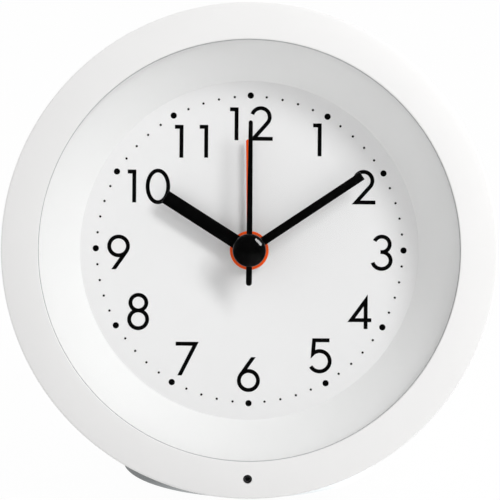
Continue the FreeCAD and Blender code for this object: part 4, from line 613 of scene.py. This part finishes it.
def bezel_profile():
    """The bezel's section: lip, gentle slope, rounded edge, side wall and the lens collar."""
    v = sizes()
    fall, edge = v.bezel_fall, v.bezel_edge
    front_radius = v.bezel_radius - v.bezel_draft
    # The front falls with about the power 1.5 of the way out, so its outer end is the steepest
    power, end_steepness = 1.5, 1.55
    slope = math.atan(end_steepness * fall / (front_radius - v.lip_radius - 0.7 * edge))
    edge_start = front_radius - edge * (1 - math.sin(slope))
    edge_end = -fall - edge * math.cos(slope)
    middle = ((v.lip_radius + edge_start) / 2, -fall * 0.5 ** power)
    front = arc_through((v.lip_radius, 0.0), middle, (edge_start, -fall), 14)
    rim = arc((front_radius - edge, edge_end), (edge, edge), 90 - math.degrees(slope), 0)
    inner, collar = v.bezel_radius - WALL, v.lens_radius + 0.1 * MM
    collar_side, collar_front, collar_back = collar + 0.8 * MM, -2.6 * MM, -5.0 * MM
    outline = [
        *front[1:-1],
        *rim,
        (v.bezel_radius, -v.bezel_depth),
        (inner, -v.bezel_depth),
        (inner, -fall - WALL),
        (collar_side, collar_front),
        (collar_side, collar_back),
        (collar, collar_back),
        (collar, -v.lip_thickness),
        (v.lip_radius, -v.lip_thickness),
        (v.lip_radius, 0.0),
    ]
    lip_corner = len(outline) - 1
    rear_corner = len(front) - 2 + len(rim)
    return rounded(outline, {lip_corner: 0.12 * MM, rear_corner: 0.3 * MM}, steps=4)


class CLOCK_OT_front_bezel(bpy.types.Operator):
    """Turn the white ring round the lens, with the hole and window of the light sensor"""
    bl_idname = "clock.front_bezel"
    bl_label = "Front Bezel"

    def execute(self, context):
        bezel = turned("bezel_ring", bezel_profile(), segments=240)
        below = Matrix.Translation((0, -(sizes().bezel_radius - 4.4 * MM), 0))
        hole = moved(rod("sensor_hole", 0.9, 1.0, -7.0, 48), below)
        combined(bezel, hole, "DIFFERENCE")
        fitted(bezel, "case", "case_plastic", "white_case", "front_bezel")
        profile = rounded([
            mm(0.0, -5.8), mm(0.86, -5.8), mm(0.86, -1.25), mm(0.5, -1.17), mm(0.4, -1.27),
            mm(0.0, -1.20)], {2: 0.12 * MM}, steps=3)
        window = turned("sensor_lens", profile, segments=48, closed=False)
        fitted(moved(window, below), "case", "window_plastic", "dark_window", "sensor_window")
        return {"FINISHED"}


class CLOCK_OT_lens(bpy.types.Operator):
    """Turn the clear flat lens behind the bezel's lip, and a grey ring of painted shade in the gap
    round it
    """
    bl_idname = "clock.lens"
    bl_label = "Lens"

    def execute(self, context):
        v = sizes()
        front = -v.lip_thickness
        back = front - v.lens_thickness
        profile = rounded([
            (0.0, back), (v.lens_radius, back), (v.lens_radius, front), (0.0, front)],
            {1: 0.15 * MM, 2: 0.15 * MM}, steps=3)
        lens = turned("lens_disc", profile, closed=False)
        fitted(lens, "case", "clear_plastic", "clear_lens", "lens")
        # Painted shade: a thin mid-grey ring stands for the dark line of the gap between the lens
        # and the lip
        inner, outer = v.lip_radius - 0.17 * MM, v.lip_radius + 0.02 * MM
        top = front + 0.14 * MM
        profile = rounded([(inner, front), (outer, front), (outer, top), (inner, top)],
                          {3: 0.06 * MM}, steps=3)
        shade_ring = turned("lens_gap_shade", profile, segments=240)
        fitted(shade_ring, "case", "gap_shade_grey", "dark_window")
        return {"FINISHED"}


class CLOCK_OT_reflector(bpy.types.Operator):
    """Turn the white funnel between the lens and the dial"""
    bl_idname = "clock.reflector"
    bl_label = "Reflector Ring"

    def execute(self, context):
        v = sizes()
        front, back, wall = -v.lip_thickness - v.lens_thickness, -v.dial_depth, 1.62 * MM
        slope = (v.mouth_radius - v.dial_radius) / (v.dial_depth + front)
        flange = back + (v.lens_radius - v.dial_radius - wall) / slope
        profile = rounded([
            (v.mouth_radius, front), (v.lens_radius, front), (v.lens_radius, flange),
            (v.dial_radius + wall, back), (v.dial_radius, back)], {0: 0.2 * MM}, steps=4)
        ring = turned("reflector_funnel", profile, segments=240)
        fitted(ring, "case", "reflector_plastic", "white_reflector", "reflector_ring")
        return {"FINISHED"}


# Dial

# Centre lines of the numerals' strokes, in millimetres from the lower left corner of each
NUMERAL_STROKES = {
    "0": [arc((2.42, 3.52), (2.10, 3.22), 0, 360)],
    "1": [[(0.0, 6.27), (1.35, 6.27), (1.35, 0.0)]],
    "2": [arc((2.19, 4.71), (1.81, 1.81), 162, -41) + [(0.70, 0.30), (4.64, 0.30)]],
    "3": [arc((2.15, 5.32), (1.60, 1.57), 155, -90) + [(1.88, 3.75)],
          [(1.88, 3.75)] + arc((2.11, 2.04), (1.86, 1.71), 90, -165)],
    "4": [[(4.71, 1.80), (0.63, 1.80), (3.55, 5.80), (3.55, 0.0)]],
    "5": [[(4.08, 6.70), (0.95, 6.70), (0.74, 3.98)] + arc((2.08, 2.43), (2.07, 2.07), 126, -149)],
    "6": [arc((2.29, 2.17), (1.94, 1.94), 0, 360), [(0.70, 3.28), (3.27, 6.93)]],
    "7": [[(0.0, 6.44), (4.06, 6.44), (0.82, 0.0)]],
    "8": [arc((2.19, 5.38), (1.62, 1.58), 0, 360), arc((2.17, 1.99), (1.83, 1.81), 0, 360)],
    "9": [arc((2.26, 4.74), (1.91, 1.91), 0, 360), [(3.83, 3.64), (1.28, 0.0)]],
}

# The lower left corner of each figure on the dial, in millimetres from the middle of the print
NUMERAL_PLACES = [
    ("1", -4.20, 22.18), ("2", -0.12, 22.20), ("1", 12.71, 19.03), ("2", 20.85, 9.41),
    ("3", 24.71, -4.10), ("4", 20.13, -16.02), ("5", 12.29, -25.07), ("6", -2.34, -28.83),
    ("7", -14.90, -25.72), ("8", -24.73, -16.38), ("9", -28.91, -4.24), ("1", -24.90, 9.38),
    ("0", -21.16, 9.14), ("1", -15.37, 18.54), ("1", -10.34, 18.58),
]

# The strokes whose ends are cut level: the foot of the 7 and the tails of the 6 and the 9
LEVEL_ENDS = {("6", 1), ("7", 0), ("9", 1)}


def stroke_sides(line, width, level_end):
    """For each point of a line, the way from it to the left edge of its stroke."""
    closed = (Vector(line[0]) - Vector(line[-1])).length < 1e-6
    runs = [(Vector(b) - Vector(a)).normalized() for a, b in zip(line, line[1:])]
    sides = []
    for i in range(len(line)):
        before = runs[i - 1] if i else (runs[-1] if closed else runs[0])
        after = runs[i] if i < len(runs) else (runs[0] if closed else runs[-1])
        along = (before + after).normalized()
        reach = width / 2 / max(0.2, along.dot(after))
        side = Vector((-along.y, along.x)) * reach
        if level_end and i == len(line) - 1:
            side = Vector((-math.copysign(width / 2 / abs(along.y), along.y), 0.0))
        sides.append(side)
    return sides


def stroked(name, line, level_end=False):
    """A thin plate of ink along a line, its corners mitred."""
    v = sizes()
    count = len(line)
    pick()
    bpy.ops.mesh.primitive_grid_add(x_subdivisions=count - 1, y_subdivisions=1, size=MM)
    obj = started(name)
    bpy.ops.object.mode_set(mode="OBJECT")
    sides = stroke_sides(line, v.stroke, level_end)
    for i, vertex in enumerate(obj.data.vertices):
        side = sides[i % count] * (1 if i >= count else -1)
        vertex.co = (*(Vector(line[i % count]) + side), 0.0)
    chosen(obj)
    bpy.ops.mesh.remove_doubles(threshold=MERGE)
    extrude(0, 0, v.ink_thickness)
    return closed_up(obj)


def ink_dot(name, diameter, sides):
    """A printed dot, a little raised."""
    obj = disc(name, diameter / 2, sides)
    extrude(0, 0, sizes().ink_thickness)
    return closed_up(obj)


class CLOCK_OT_dial(bpy.types.Operator):
    """Turn the dial and print its numerals and its hour and minute dots"""
    bl_idname = "clock.dial"
    bl_label = "Dial"

    def execute(self, context):
        v = sizes()
        front = -v.dial_depth
        edge, bore, back = v.dial_radius + 1.8 * MM, 2.65 * MM, front - 0.6 * MM
        profile = rounded([(edge, back), (edge, front), (bore, front), (bore, back)],
                          {2: 0.1 * MM}, steps=3)
        fitted(turned("dial_disc", profile), "case", "dial_paper", "white_dial", "dial")
        strokes = []
        for figure, x, y in NUMERAL_PLACES:
            for k, line in enumerate(NUMERAL_STROKES[figure]):
                points = [((x + px) * MM + v.print_side, (y + py) * MM + v.print_rise)
                          for px, py in line]
                strokes.append(stroked(f"stroke_{figure}", points, (figure, k) in LEVEL_ENDS))
        numerals = moved(joined("dial_numerals", strokes), Matrix.Translation((0, 0, front)))
        fitted(numerals, "case", "dial_ink", "black_hands")
        big, small = ink_dot("hour_dot", v.hour_dot, 24), ink_dot("minute_dot", v.minute_dot, 12)
        dots = []
        for minute in range(60):
            angle = math.radians(90 - 6 * minute)
            ring, pattern = (v.dot_ring, small) if minute % 5 else (v.hour_ring, big)
            dots.append(copied(pattern, Matrix.Translation((
                ring * math.cos(angle) + v.print_side, ring * math.sin(angle) + v.print_rise,
                front))))
        for pattern in (big, small):
            bpy.data.objects.remove(pattern)
        fitted(joined("dial_dots", dots), "case", "dial_ink", "black_hands")
        return {"FINISHED"}


# Hands

def blade(name, z, width, start, end, tip=0.0):
    """A flat bar from start to end along y, whose end may be drawn in."""
    v = sizes()
    pick()
    bpy.ops.mesh.primitive_plane_add(size=1, location=(0, (start + end - tip) / 2, z))
    bpy.context.object.scale = (width, end - tip - start, 1)
    obj = started(name)
    if tip:
        chosen(obj, lambda co: co.y > end - tip - NUDGE)
        extrude(0, tip, 0)
        bpy.ops.transform.resize(value=((width - 2 * tip) / width, 1, 1),
                                 center_override=(0, end, z))
        bpy.ops.mesh.select_all(action="SELECT")
    extrude(0, 0, v.hand_thickness)
    return bevelled(closed_up(obj), v.hand_bevel)


def hub_ring(name, z, radius, bore, edge=0.1 * MM):
    """The round boss of a hand, a little thicker than its blade, with a rounded edge."""
    top = z + sizes().hand_thickness + 0.1 * MM
    profile = rounded([(bore, z), (radius, z), (radius, top), (bore, top)],
                      {1: 0.06 * MM, 2: edge}, steps=4)
    return turned(name, profile, segments=96)


def hand_place(angle):
    """The face turned clockwise by a hand's angle."""
    return FACE @ Matrix.Rotation(-angle, 4, "Z")


class CLOCK_OT_hands(bpy.types.Operator):
    """Make the alarm, hour, minute and second hands and the domed cap over them"""
    bl_idname = "clock.hands"
    bl_label = "Hands"

    def execute(self, context):
        v = sizes()
        alarm = self.hand("alarm", -9.85, (0.94, 3.3, 22.5, 0.25), (3.94, 2.45, 0.34))
        fitted(alarm, "alarm_hand_body", "orange_paint", "orange_hand", "alarm_hand",
               place=hand_place(v.alarm_angle))
        # Only the front of the alarm hand is painted
        alarm.data.materials.append(finish("steel"))
        ahead = FACE.to_3x3() @ Vector((0, 0, 1))
        for face in alarm.data.polygons:
            face.material_index = 0 if face.normal.dot(ahead) > 0.1 else 1
        hour = self.hand("hour", -8.9, (2.82, 2.4, 20.2), (3.0, 1.8))
        fitted(hour, "hour_hand_body", "black_paint", "black_hands", "hour_hand",
               place=hand_place(v.hour_angle))
        minute = self.hand("minute", -7.6, (1.78, 2.0, 27.35), (2.6, 1.15))
        fitted(minute, "minute_hand_body", "black_paint", "black_hands", "minute_hand",
               place=hand_place(v.minute_angle))
        fitted(self.second_hand(-6.3 * MM), "second_hand_body", "black_paint", "black_hands",
               "second_hand", place=hand_place(v.second_angle))
        base, shoulder, top = mm(-5.8, -4.85, -3.75)
        dome = arc_through((v.cap_radius, shoulder), (0.0, top), (-v.cap_radius, shoulder), 36)
        profile = rounded([(0.0, base), (v.cap_radius, base), *dome[:19]],
                          {1: 0.08 * MM, 2: 0.4 * MM}, steps=5)
        cap = turned("hand_dome", profile, segments=96, closed=False)
        fitted(cap, "second_hand_body", "cap_gloss", "black_hands", "hand_cap")
        return {"FINISHED"}

    def hand(self, name, z, bar, hub):
        """A bar (width, start, end, tip) with its hub (radius, bore, edge), in millimetres."""
        return joined(f"{name}_pointer", [blade(f"{name}_blade", z * MM, *mm(*bar)),
                                          hub_ring(f"{name}_hub", z * MM, *mm(*hub))])

    def second_hand(self, z):
        """A thin bar with round ends, tapered from its small boss to its tip, and a tail."""
        half, tip, end, tail = mm(0.61, 0.42, 26.2, 7.15)
        obj = disc("second_blade", half, 32, z)
        bpy.ops.object.mode_set(mode="OBJECT")
        for vertex in obj.data.vertices:
            if vertex.co.y > -NUDGE:
                vertex.co.x *= tip / half
                vertex.co.y = vertex.co.y * tip / half + end - tip
            else:
                vertex.co.y -= tail - half
        chosen(obj)
        bpy.ops.mesh.bisect(plane_co=(0, 0, z), plane_no=(0, 1, 0))
        bpy.ops.object.mode_set(mode="OBJECT")
        for vertex in obj.data.vertices:
            if abs(vertex.co.y) < NUDGE:
                vertex.co.x = math.copysign(half, vertex.co.x)
        chosen(obj)
        extrude(0, 0, sizes().hand_thickness)
        bevelled(closed_up(obj), 0.08 * MM)
        return joined("second_pointer", [
            obj, hub_ring("second_hub", z - 0.1 * MM, 2.0 * MM, 0.5 * MM)])


# Foot

def case_form(name, outset):
    """The rear case's outer form as one solid, grown outwards a little."""
    v = sizes()
    profile = rounded([
        (0.0, -v.case_depth - outset), (v.case_rear + outset, -v.case_depth - outset),
        (v.case_front + outset, -v.bezel_depth), (0.0, -v.bezel_depth)],
        {1: 5.0 * MM}, steps=8)
    return turned(name, profile, segments=240, closed=False)


class CLOCK_OT_foot(bpy.types.Operator):
    """Turn the foot, hollowed to cradle the case, and the ridged pad under it"""
    bl_idname = "clock.foot"
    bl_label = "Foot"

    def execute(self, context):
        v = sizes()
        seat, seat_top = v.pad_radius + 0.1 * MM, 1.4 * MM
        rim, shoulder, top = mm(0.25, 3.6, 9.0)
        profile = rounded([
            (0.0, seat_top), (seat, seat_top), (seat, rim), (v.foot_radius, rim),
            (v.foot_radius, shoulder), (15.0 * MM, top), (0.0, top)],
            {3: 0.3 * MM, 4: 1.0 * MM}, steps=5)
        foot = turned("foot_dish", profile, closed=False)
        combined(foot, moved(case_form("cradle", 0.05 * MM), FACE), "DIFFERENCE")
        fitted(foot, "case", "silver_foot", "grey_foot", "foot_base", place=UPRIGHT)
        groove = 0.25 * MM
        ridges = [(0.0, groove)]
        for k in range(5):
            radius = (5.0 + 4.2 * k) * MM
            ridges += [(radius, groove), (radius + 0.3 * MM, 0.0), (radius + 1.5 * MM, 0.0),
                       (radius + 1.8 * MM, groove)]
        ridges += [(v.pad_radius - 0.3 * MM, 0.0), (v.pad_radius, 0.3 * MM),
                   (v.pad_radius, seat_top), (0.0, seat_top)]
        pad = turned("rubber_ring_pad", ridges, segments=144, closed=False)
        fitted(pad, "case", "pad_rubber", "rubber_pad", "foot_pad", place=UPRIGHT)
        return {"FINISHED"}


# Back of the clock, in millimetres on the face's own axes

REAR = -50.0
POST_PLACES = [(28.5, 12.0), (-28.5, 12.0), (14.0, -28.5), (-14.0, -28.5)]
KNOB_PLACES = [("time_grip", -12.99, "time_knob_body", "time_set_knob"),
               ("alarm_grip", 12.99, "alarm_knob_body", "alarm_set_knob")]
SLIDE_Y = 7.5
SPRING_X = 8.5
KEY_Z = -30.0


def pocket(name, x_range, y_range, floor, flare=0.25):
    """A cutter for a square pocket in the rear face, a little wider at its mouth."""
    tool = box(name, x_range, y_range, (REAR + flare, floor))
    chosen(tool, lambda co: co.z < (REAR + flare) * MM + NUDGE)
    middle = (sum(x_range) / 2 * MM, sum(y_range) / 2 * MM, REAR * MM)
    wider = [1 + 2 * flare / (high - low) for low, high in (x_range, y_range)]
    extrude(0, 0, -flare * MM)
    bpy.ops.transform.resize(value=(*wider, 1), center_override=middle)
    extrude(0, 0, -MM)
    return closed_up(tool)


def bore(name, x, y, steps, flare=0.25, stretch=0.0):
    """A cutter for a round hole in the rear face, in steps of (radius, end).

    With a stretch it is drawn out sideways into a slot.
    """
    mouth = steps[0][0] + flare
    points = [(0.0, REAR - 1), (mouth, REAR - 1), (mouth, REAR)]
    start = REAR + flare
    for radius, end in steps:
        points += [(radius, start), (radius, end)]
        start = end
    points.append((0.0, start))
    tool = turned(name, [mm(*point) for point in points], segments=40, closed=False)
    for side in (1, -1) if stretch else ():
        chosen(tool, lambda co: co.x * side > -NUDGE)
        bpy.ops.transform.translate(value=(side * stretch * MM, 0, 0))
        bpy.ops.object.mode_set(mode="OBJECT")
    return moved(tool, shift(x, y))


def upright(name, x, radius, low, high):
    """A round pin along y under the snooze key."""
    return moved(rod(name, radius, low, high, 40), shift(x, 0, KEY_Z) @ ALONG_Y)


class CLOCK_OT_rear_case(bpy.types.Operator):
    """Turn the rear case with its posts and shelf, then cut the battery bay and the openings"""
    bl_idname = "clock.rear_case"
    bl_label = "Rear Case"

    def execute(self, context):
        v = sizes()
        depth, lip = v.case_depth, v.bezel_depth
        inner_rear, inner_front = v.case_rear - 1.551 * MM, v.case_front - 2.45 * MM
        spigot, spigot_bore, spigot_end = mm(47.9, 46.4, -5.4)
        profile = rounded([
            (0.0, -depth), (v.case_rear, -depth), (v.case_front, -lip), (spigot, -lip),
            (spigot, spigot_end), (spigot_bore, spigot_end), (spigot_bore, -lip - WALL),
            (inner_front, -lip - WALL), (inner_rear, -depth + WALL), (0.0, -depth + WALL)],
            {1: 5.0 * MM, 2: 0.25 * MM, 4: 0.3 * MM, 5: 0.3 * MM, 8: 3.0 * MM}, steps=8)
        shell = turned("rear_shell", profile, segments=240, closed=False)
        inside = joined("inner_walls", self.inner_walls())
        combined(inside, case_form("trim", -0.6 * MM), "INTERSECT")
        combined(shell, inside, "UNION")
        combined(shell, joined("cutters", self.openings()), "DIFFERENCE")
        tabs = [box("tab_slot", span, (-4.9, -1.4), (-42.35, -38.95))
                for span in ((27.8, 28.6), (-28.6, -27.8))]
        combined(shell, joined("tab_slots", tabs), "DIFFERENCE")
        chosen(shell)
        bpy.ops.mesh.remove_doubles(threshold=MERGE)
        bpy.ops.object.mode_set(mode="OBJECT")
        fitted(shell, "case", "case_plastic", "white_case", "rear_case", angle=30)
        return {"FINISHED"}

    def inner_walls(self):
        """The bay's box, the button's shelf, the screw posts and the foot's bosses."""
        walls = [box("bay_walls", (-29.7, 29.7), (-21.4, -2.6), (-49.5, -32.0)),
                 box("shelf", (-48.0, 48.0), (32.488, 33.988), (-48.8, -21.5))]
        walls += [moved(rod("post", 3.4, -49.5, -19.4, 48), shift(x, y)) for x, y in POST_PLACES]
        walls += [moved(rod("boss", 2.6, 0.0, 10.0, 48), FACE.inverted() @ shift(x))
                  for x in (9.0, -9.0)]
        return walls

    def openings(self):
        """The bay, the button's window, the notch for the sensor and all the holes and slots."""
        tools = [pocket("bay", (-28.5, 28.5), (-20.2, -3.8), -33.2, flare=0.2),
                 box("button_window", (-13.25, 13.25), (35.0, 52.0), (-38.25, -21.75)),
                 box("sensor_notch", (-2.15, 2.15), (-48.5, -25.0), (-8.9, 0.0)),
                 pocket("slide_recess", (-3.95, 3.95), around(SLIDE_Y, 1.85), -49.0)]
        tools += [bore("well", x, y, [(2.35, -22.4), (1.25, -19.0)]) for x, y in POST_PLACES]
        tools += [bore("shaft_hole", x, SLIDE_Y, [(1.25, -47.0)]) for _, x, _, _ in KNOB_PLACES]
        for k in range(-2, 3):
            reach = math.sqrt(36.0 - (2.2 * k) ** 2)
            tools.append(bore("sound_slot", 0.0, 22.0 + 2.2 * k, [(0.5, -47.0)],
                              stretch=reach - 0.5))
        tools.append(box("slide_slot", (-2.55, 2.55), around(SLIDE_Y, 1.05), (-48.99, -47.0)))
        return tools


class CLOCK_OT_snooze_key(bpy.types.Operator):
    """Make the snooze and light button, hollow, with its flange, spring seats and stem"""
    bl_idname = "clock.snooze_key"
    bl_label = "Snooze Key"

    def execute(self, context):
        key = box("snooze_key", (-13.0, 13.0), (36.3, 52.0), (-38.0, -22.0))
        combined(key, case_form("key_top", 1.7 * MM), "INTERSECT")
        bevelled(key, 0.8 * MM, segments=4, angle=50)
        hollow = box("hollow", (-11.4, 11.4), (30.0, 52.0), (-36.4, -23.6))
        combined(hollow, case_form("key_under", 0.1 * MM), "INTERSECT")
        flange = box("flange", (-14.3, 14.3), (36.19, 37.39), (-39.3, -20.7))
        combined(key, bevelled(flange, 0.2 * MM), "UNION")
        combined(key, hollow, "DIFFERENCE")
        pins = [upright("stem", 0.0, 1.5, 39.288, 48.0)]
        pins += [upright("seat", x, 2.7, 42.59, 48.0) for x in (SPRING_X, -SPRING_X)]
        pins = joined("pins", pins)
        combined(pins, case_form("pin_trim", 0.9 * MM), "INTERSECT")
        combined(key, pins, "UNION")
        fitted(key, "snooze_button_body", "case_plastic", "white_case", "snooze_button", angle=30)
        return {"FINISHED"}


class CLOCK_OT_springs(bpy.types.Operator):
    """Wind the two coil springs that lift the snooze key"""
    bl_idname = "clock.springs"
    bl_label = "Snooze Springs"

    def execute(self, context):
        shelf, seat, wire, turns, stroke = 33.988, 42.588, 0.35, 5, 0.9
        pick()
        bpy.ops.mesh.primitive_circle_add(
            vertices=12, radius=wire * MM, location=(2.0 * MM, 0, wire * MM),
            rotation=(math.radians(90), 0, 0))
        coil = started("coil")
        modified(coil, "SCREW", angle=2 * math.pi, iterations=turns, steps=32, render_steps=32,
                 screw_offset=(seat - shelf - 2 * wire) / turns * MM)
        chosen(coil)
        bpy.ops.mesh.fill_holes(sides=0)
        closed_up(coil)
        pair = [copied(coil, shift(x, shelf, KEY_Z) @ ALONG_Y) for x in (SPRING_X, -SPRING_X)]
        bpy.data.objects.remove(coil)
        springs = joined("coil_springs", pair)
        fitted(springs, "case", "steel", "steel_parts", "snooze_springs")
        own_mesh(springs)
        return {"FINISHED"}


class CLOCK_OT_knobs(bpy.types.Operator):
    """Make the two fluted knobs that set the time and the alarm"""
    bl_idname = "clock.knobs"
    bl_label = "Setting Knobs"

    def execute(self, context):
        for name, x, body, node in KNOB_PLACES:
            knob = moved(self.knob(name), shift(x, SLIDE_Y))
            fitted(knob, body, "knob_plastic", "knob_plastic", node, angle=32)
        return {"FINISHED"}

    def knob(self, name):
        """Eighteen flutes, a rounded rear edge, a dished end and a plain flange."""
        radius, round_edge = sizes().knob_radius, 0.6
        start, edge = -51.4, -55.9
        flute = [1.0, 1.0, 0.951, 0.91, 0.9, 0.91, 0.951, 1.0]
        grip = disc(name, radius, 144, start * MM)
        bpy.ops.object.mode_set(mode="OBJECT")
        for i, vertex in enumerate(grip.data.vertices):
            share = flute[i % len(flute)]
            vertex.co.x *= share
            vertex.co.y *= share
        chosen(grip)
        steps = [(edge, 1.0)]
        for angle in (30, 60, 90):
            turn = math.radians(angle)
            steps.append((edge - round_edge * math.sin(turn),
                          1 - round_edge * MM / radius * (1 - math.cos(turn))))
        steps += [(-56.5, 0.72), (-56.42, 0.68), (-56.2, 0.62)]
        level, size = start, 1.0
        for z, share in steps:
            extrude(0, 0, (z - level) * MM)
            bpy.ops.transform.resize(value=(share / size, share / size, 1),
                                     center_override=(0, 0, z * MM))
            level, size = z, share
        closed_up(grip)
        front, back = mm(-50.5, -51.5)
        profile = rounded([(0.0, front), (radius, front), (radius, back), (0.0, back)],
                          {1: 0.15 * MM, 2: 0.15 * MM}, steps=3)
        return joined(name, [grip, turned("flange", profile, segments=96, closed=False)])


class CLOCK_OT_alarm_switch(bpy.types.Operator):
    """Make the ribbed slider that turns the alarm on and off"""
    bl_idname = "clock.alarm_switch"
    bl_label = "Alarm Switch"

    def execute(self, context):
        x = -1.5  # it rests at one end of its travel
        thumb = box("slide_thumb", around(x, 2.2), around(SLIDE_Y, 1.6), (-50.8, -49.1))
        bevelled(thumb, 0.22 * MM, segments=3)
        grooves = [box("groove", around(x + 1.1 * k, 0.2), around(SLIDE_Y, 3.0), (-52.0, -50.5))
                   for k in (-1, 0, 1)]
        combined(thumb, joined("grooves", grooves), "DIFFERENCE")
        stem = box("stem", around(x, 0.8), around(SLIDE_Y, 0.8), (-49.6, -47.0))
        slider = joined("slide_thumb", [thumb, bevelled(stem, 0.1 * MM)])
        fitted(slider, "alarm_slider_body", "black_plastic", "black_plastic",
               "alarm_switch_slider")
        return {"FINISHED"}


class CLOCK_OT_battery_lid(bpy.types.Operator):
    """Make the battery lid with its grip ribs"""
    bl_idname = "clock.battery_lid"
    bl_label = "Battery Lid"

    def execute(self, context):
        plate = box("battery_lid", (-28.3, 28.3), (-20.0, -4.0), (-50.0, -48.0))
        bevelled(plate, 0.3 * MM, segments=3)
        ribs = []
        for k in range(4):
            rib = box("rib", around(-23.5 + 1.8 * k, 0.45), around(-12.0, 4.0), (-50.4, -49.6))
            ribs.append(bevelled(rib, 0.18 * MM, segments=3))
        lid = joined("battery_lid", [plate, *ribs])
        fitted(lid, "battery_cover_body", "case_plastic", "white_case", "battery_cover")
        return {"FINISHED"}


# Everything that keeps its turned or moulded shape

# The finish of each material slot, where its name isn't the slot's own
SLOT_FINISHES = {
    "white_case": "case_plastic", "clear_lens": "clear_plastic",
    "white_reflector": "reflector_plastic", "white_dial": "dial_paper",
    "black_hands": "black_paint", "orange_hand": "orange_paint", "dark_window": "window_plastic",
    "grey_foot": "silver_foot", "rubber_pad": "pad_rubber", "brass_parts": "brass",
    "steel_parts": "steel", "board_green": "circuit_board", "battery_can": "battery_sleeve",
    "lamp_lens": "lamp_plastic",
}


class CLOCK_OT_inner_parts(bpy.types.Operator):
    """Give every part of the frame the finish of its material"""
    bl_idname = "clock.inner_parts"
    bl_label = "Inner Parts"

    def execute(self, context):
        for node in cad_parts.values():
            for slot in node.material_slots:
                base = slot.material.name.split(".")[0]
                slot.material = finish(SLOT_FINISHES.get(base, base))
        return {"FINISHED"}


# Stage

class CLOCK_OT_stage(bpy.types.Operator):
    """Lay the floor and set the world, the lamp and the camera"""
    bl_idname = "clock.stage"
    bl_label = "Stage"

    def execute(self, context):
        self.floor()
        self.world(context)
        self.lamp(context)
        self.camera(context)
        context.scene.view_settings.view_transform = "Standard"
        return {"FINISHED"}

    def floor(self):
        pick()
        bpy.ops.mesh.primitive_circle_add(vertices=96, radius=3.0, fill_type="NGON")
        floor = bpy.context.object
        floor.name = "studio_floor"
        floor.data.materials.append(finish("studio_floor"))

    def world(self, context):
        """White to look at, an even light that is weaker in front, a darker studio for gloss."""
        world = bpy.data.worlds.new("studio")
        world.use_nodes = True
        context.scene.world = world
        s = Shading(world.node_tree)
        ahead = FACE.to_3x3() @ Vector((0, 0, 1))
        direction = s.node("ShaderNodeTexCoord", output="Generated")
        facing = s.node("ShaderNodeVectorMath", [direction, tuple(ahead)], output="Value",
                        operation="DOT_PRODUCT")
        studio = s.between(facing, 0.05, 0.5, 0.75, 0.02)
        ambient = context.scene.clock_stage.ambient * s.between(facing, 0.0, 0.5, 1.6, 0.96)
        camera, gloss, clear = s.rays()
        look = camera.larger(clear)
        strength = look + (1.0 - look) * (gloss * studio + (1.0 - gloss) * ambient)
        light = s.node("ShaderNodeBackground", {"Color": (1, 1, 1, 1), "Strength": strength})
        s.finished(light, "ShaderNodeOutputWorld")

    def lamp(self, context):
        """A softbox at the upper right, as strong as the key light asks for."""
        heading = Vector((0.588, 0.548, 0.595)).normalized()
        distance = 0.9
        bpy.ops.object.light_add(type="AREA")
        lamp = context.object
        lamp.name = "key_softbox"
        lamp.data.shape = "RECTANGLE"
        lamp.data.size = 0.52
        lamp.data.size_y = 0.19
        lamp.data.energy = context.scene.clock_stage.key_light * math.pi * math.pi * distance ** 2
        across = Vector((0, 0, 1)).cross(heading).normalized()
        turn = Matrix((across, heading.cross(across), heading)).transposed().to_4x4()
        lamp.matrix_world = FACE @ Matrix.Translation(heading * distance) @ turn

    def camera(self, context):
        """A long lens square to the face; its focal length is in sensor widths."""
        stage = context.scene.clock_stage
        focal_length = 2612 / 500
        bpy.ops.object.camera_add()
        camera = context.object
        camera.name = "studio_camera"
        camera.data.sensor_width = 36.0
        camera.data.lens = 36.0 * focal_length
        camera.data.shift_x = 0.0015
        camera.data.shift_y = 0.0008
        camera.data.clip_start = 0.01
        camera.matrix_world = (FACE @ Matrix.Translation((0, 0, stage.camera_distance))
                               @ Matrix.Rotation(stage.camera_roll, 4, "Z"))
        context.scene.camera = camera


class CLOCK_PT_sidebar(bpy.types.Panel):
    """The clock's pieces, each with its own button"""
    bl_label = "Alarm Clock"
    bl_idname = "CLOCK_PT_sidebar"
    bl_space_type = "VIEW_3D"
    bl_region_type = "UI"
    bl_category = "Alarm Clock"

    def draw(self, context):
        for operator in OPERATORS:
            self.layout.operator(operator.bl_idname)
        for name, group in GROUPS:
            section = self.layout.box()
            for key in group.__annotations__:
                section.prop(getattr(context.scene, name), key)


OPERATORS = [
    CLOCK_OT_inner_parts,
    CLOCK_OT_front_bezel,
    CLOCK_OT_lens,
    CLOCK_OT_reflector,
    CLOCK_OT_dial,
    CLOCK_OT_hands,
    CLOCK_OT_foot,
    CLOCK_OT_rear_case,
    CLOCK_OT_snooze_key,
    CLOCK_OT_springs,
    CLOCK_OT_knobs,
    CLOCK_OT_alarm_switch,
    CLOCK_OT_battery_lid,
    CLOCK_OT_stage,
]
GROUPS = [("clock_sizes", ClockSizes), ("clock_colours", ClockColours), ("clock_stage", ClockStage)]


def register():
    for name, group in GROUPS:
        bpy.utils.register_class(group)
        setattr(bpy.types.Scene, name, bpy.props.PointerProperty(type=group))
    for operator in OPERATORS:
        bpy.utils.register_class(operator)
    bpy.utils.register_class(CLOCK_PT_sidebar)


def unregister():
    bpy.utils.unregister_class(CLOCK_PT_sidebar)
    for operator in reversed(OPERATORS):
        bpy.utils.unregister_class(operator)
    for name, group in reversed(GROUPS):
        delattr(bpy.types.Scene, name)
        bpy.utils.unregister_class(group)


def main():
    register()
    for operator in OPERATORS:
        group, name = operator.bl_idname.split(".")
        getattr(getattr(bpy.ops, group), name)()
    pick()


if __name__ == "__main__":
    main()
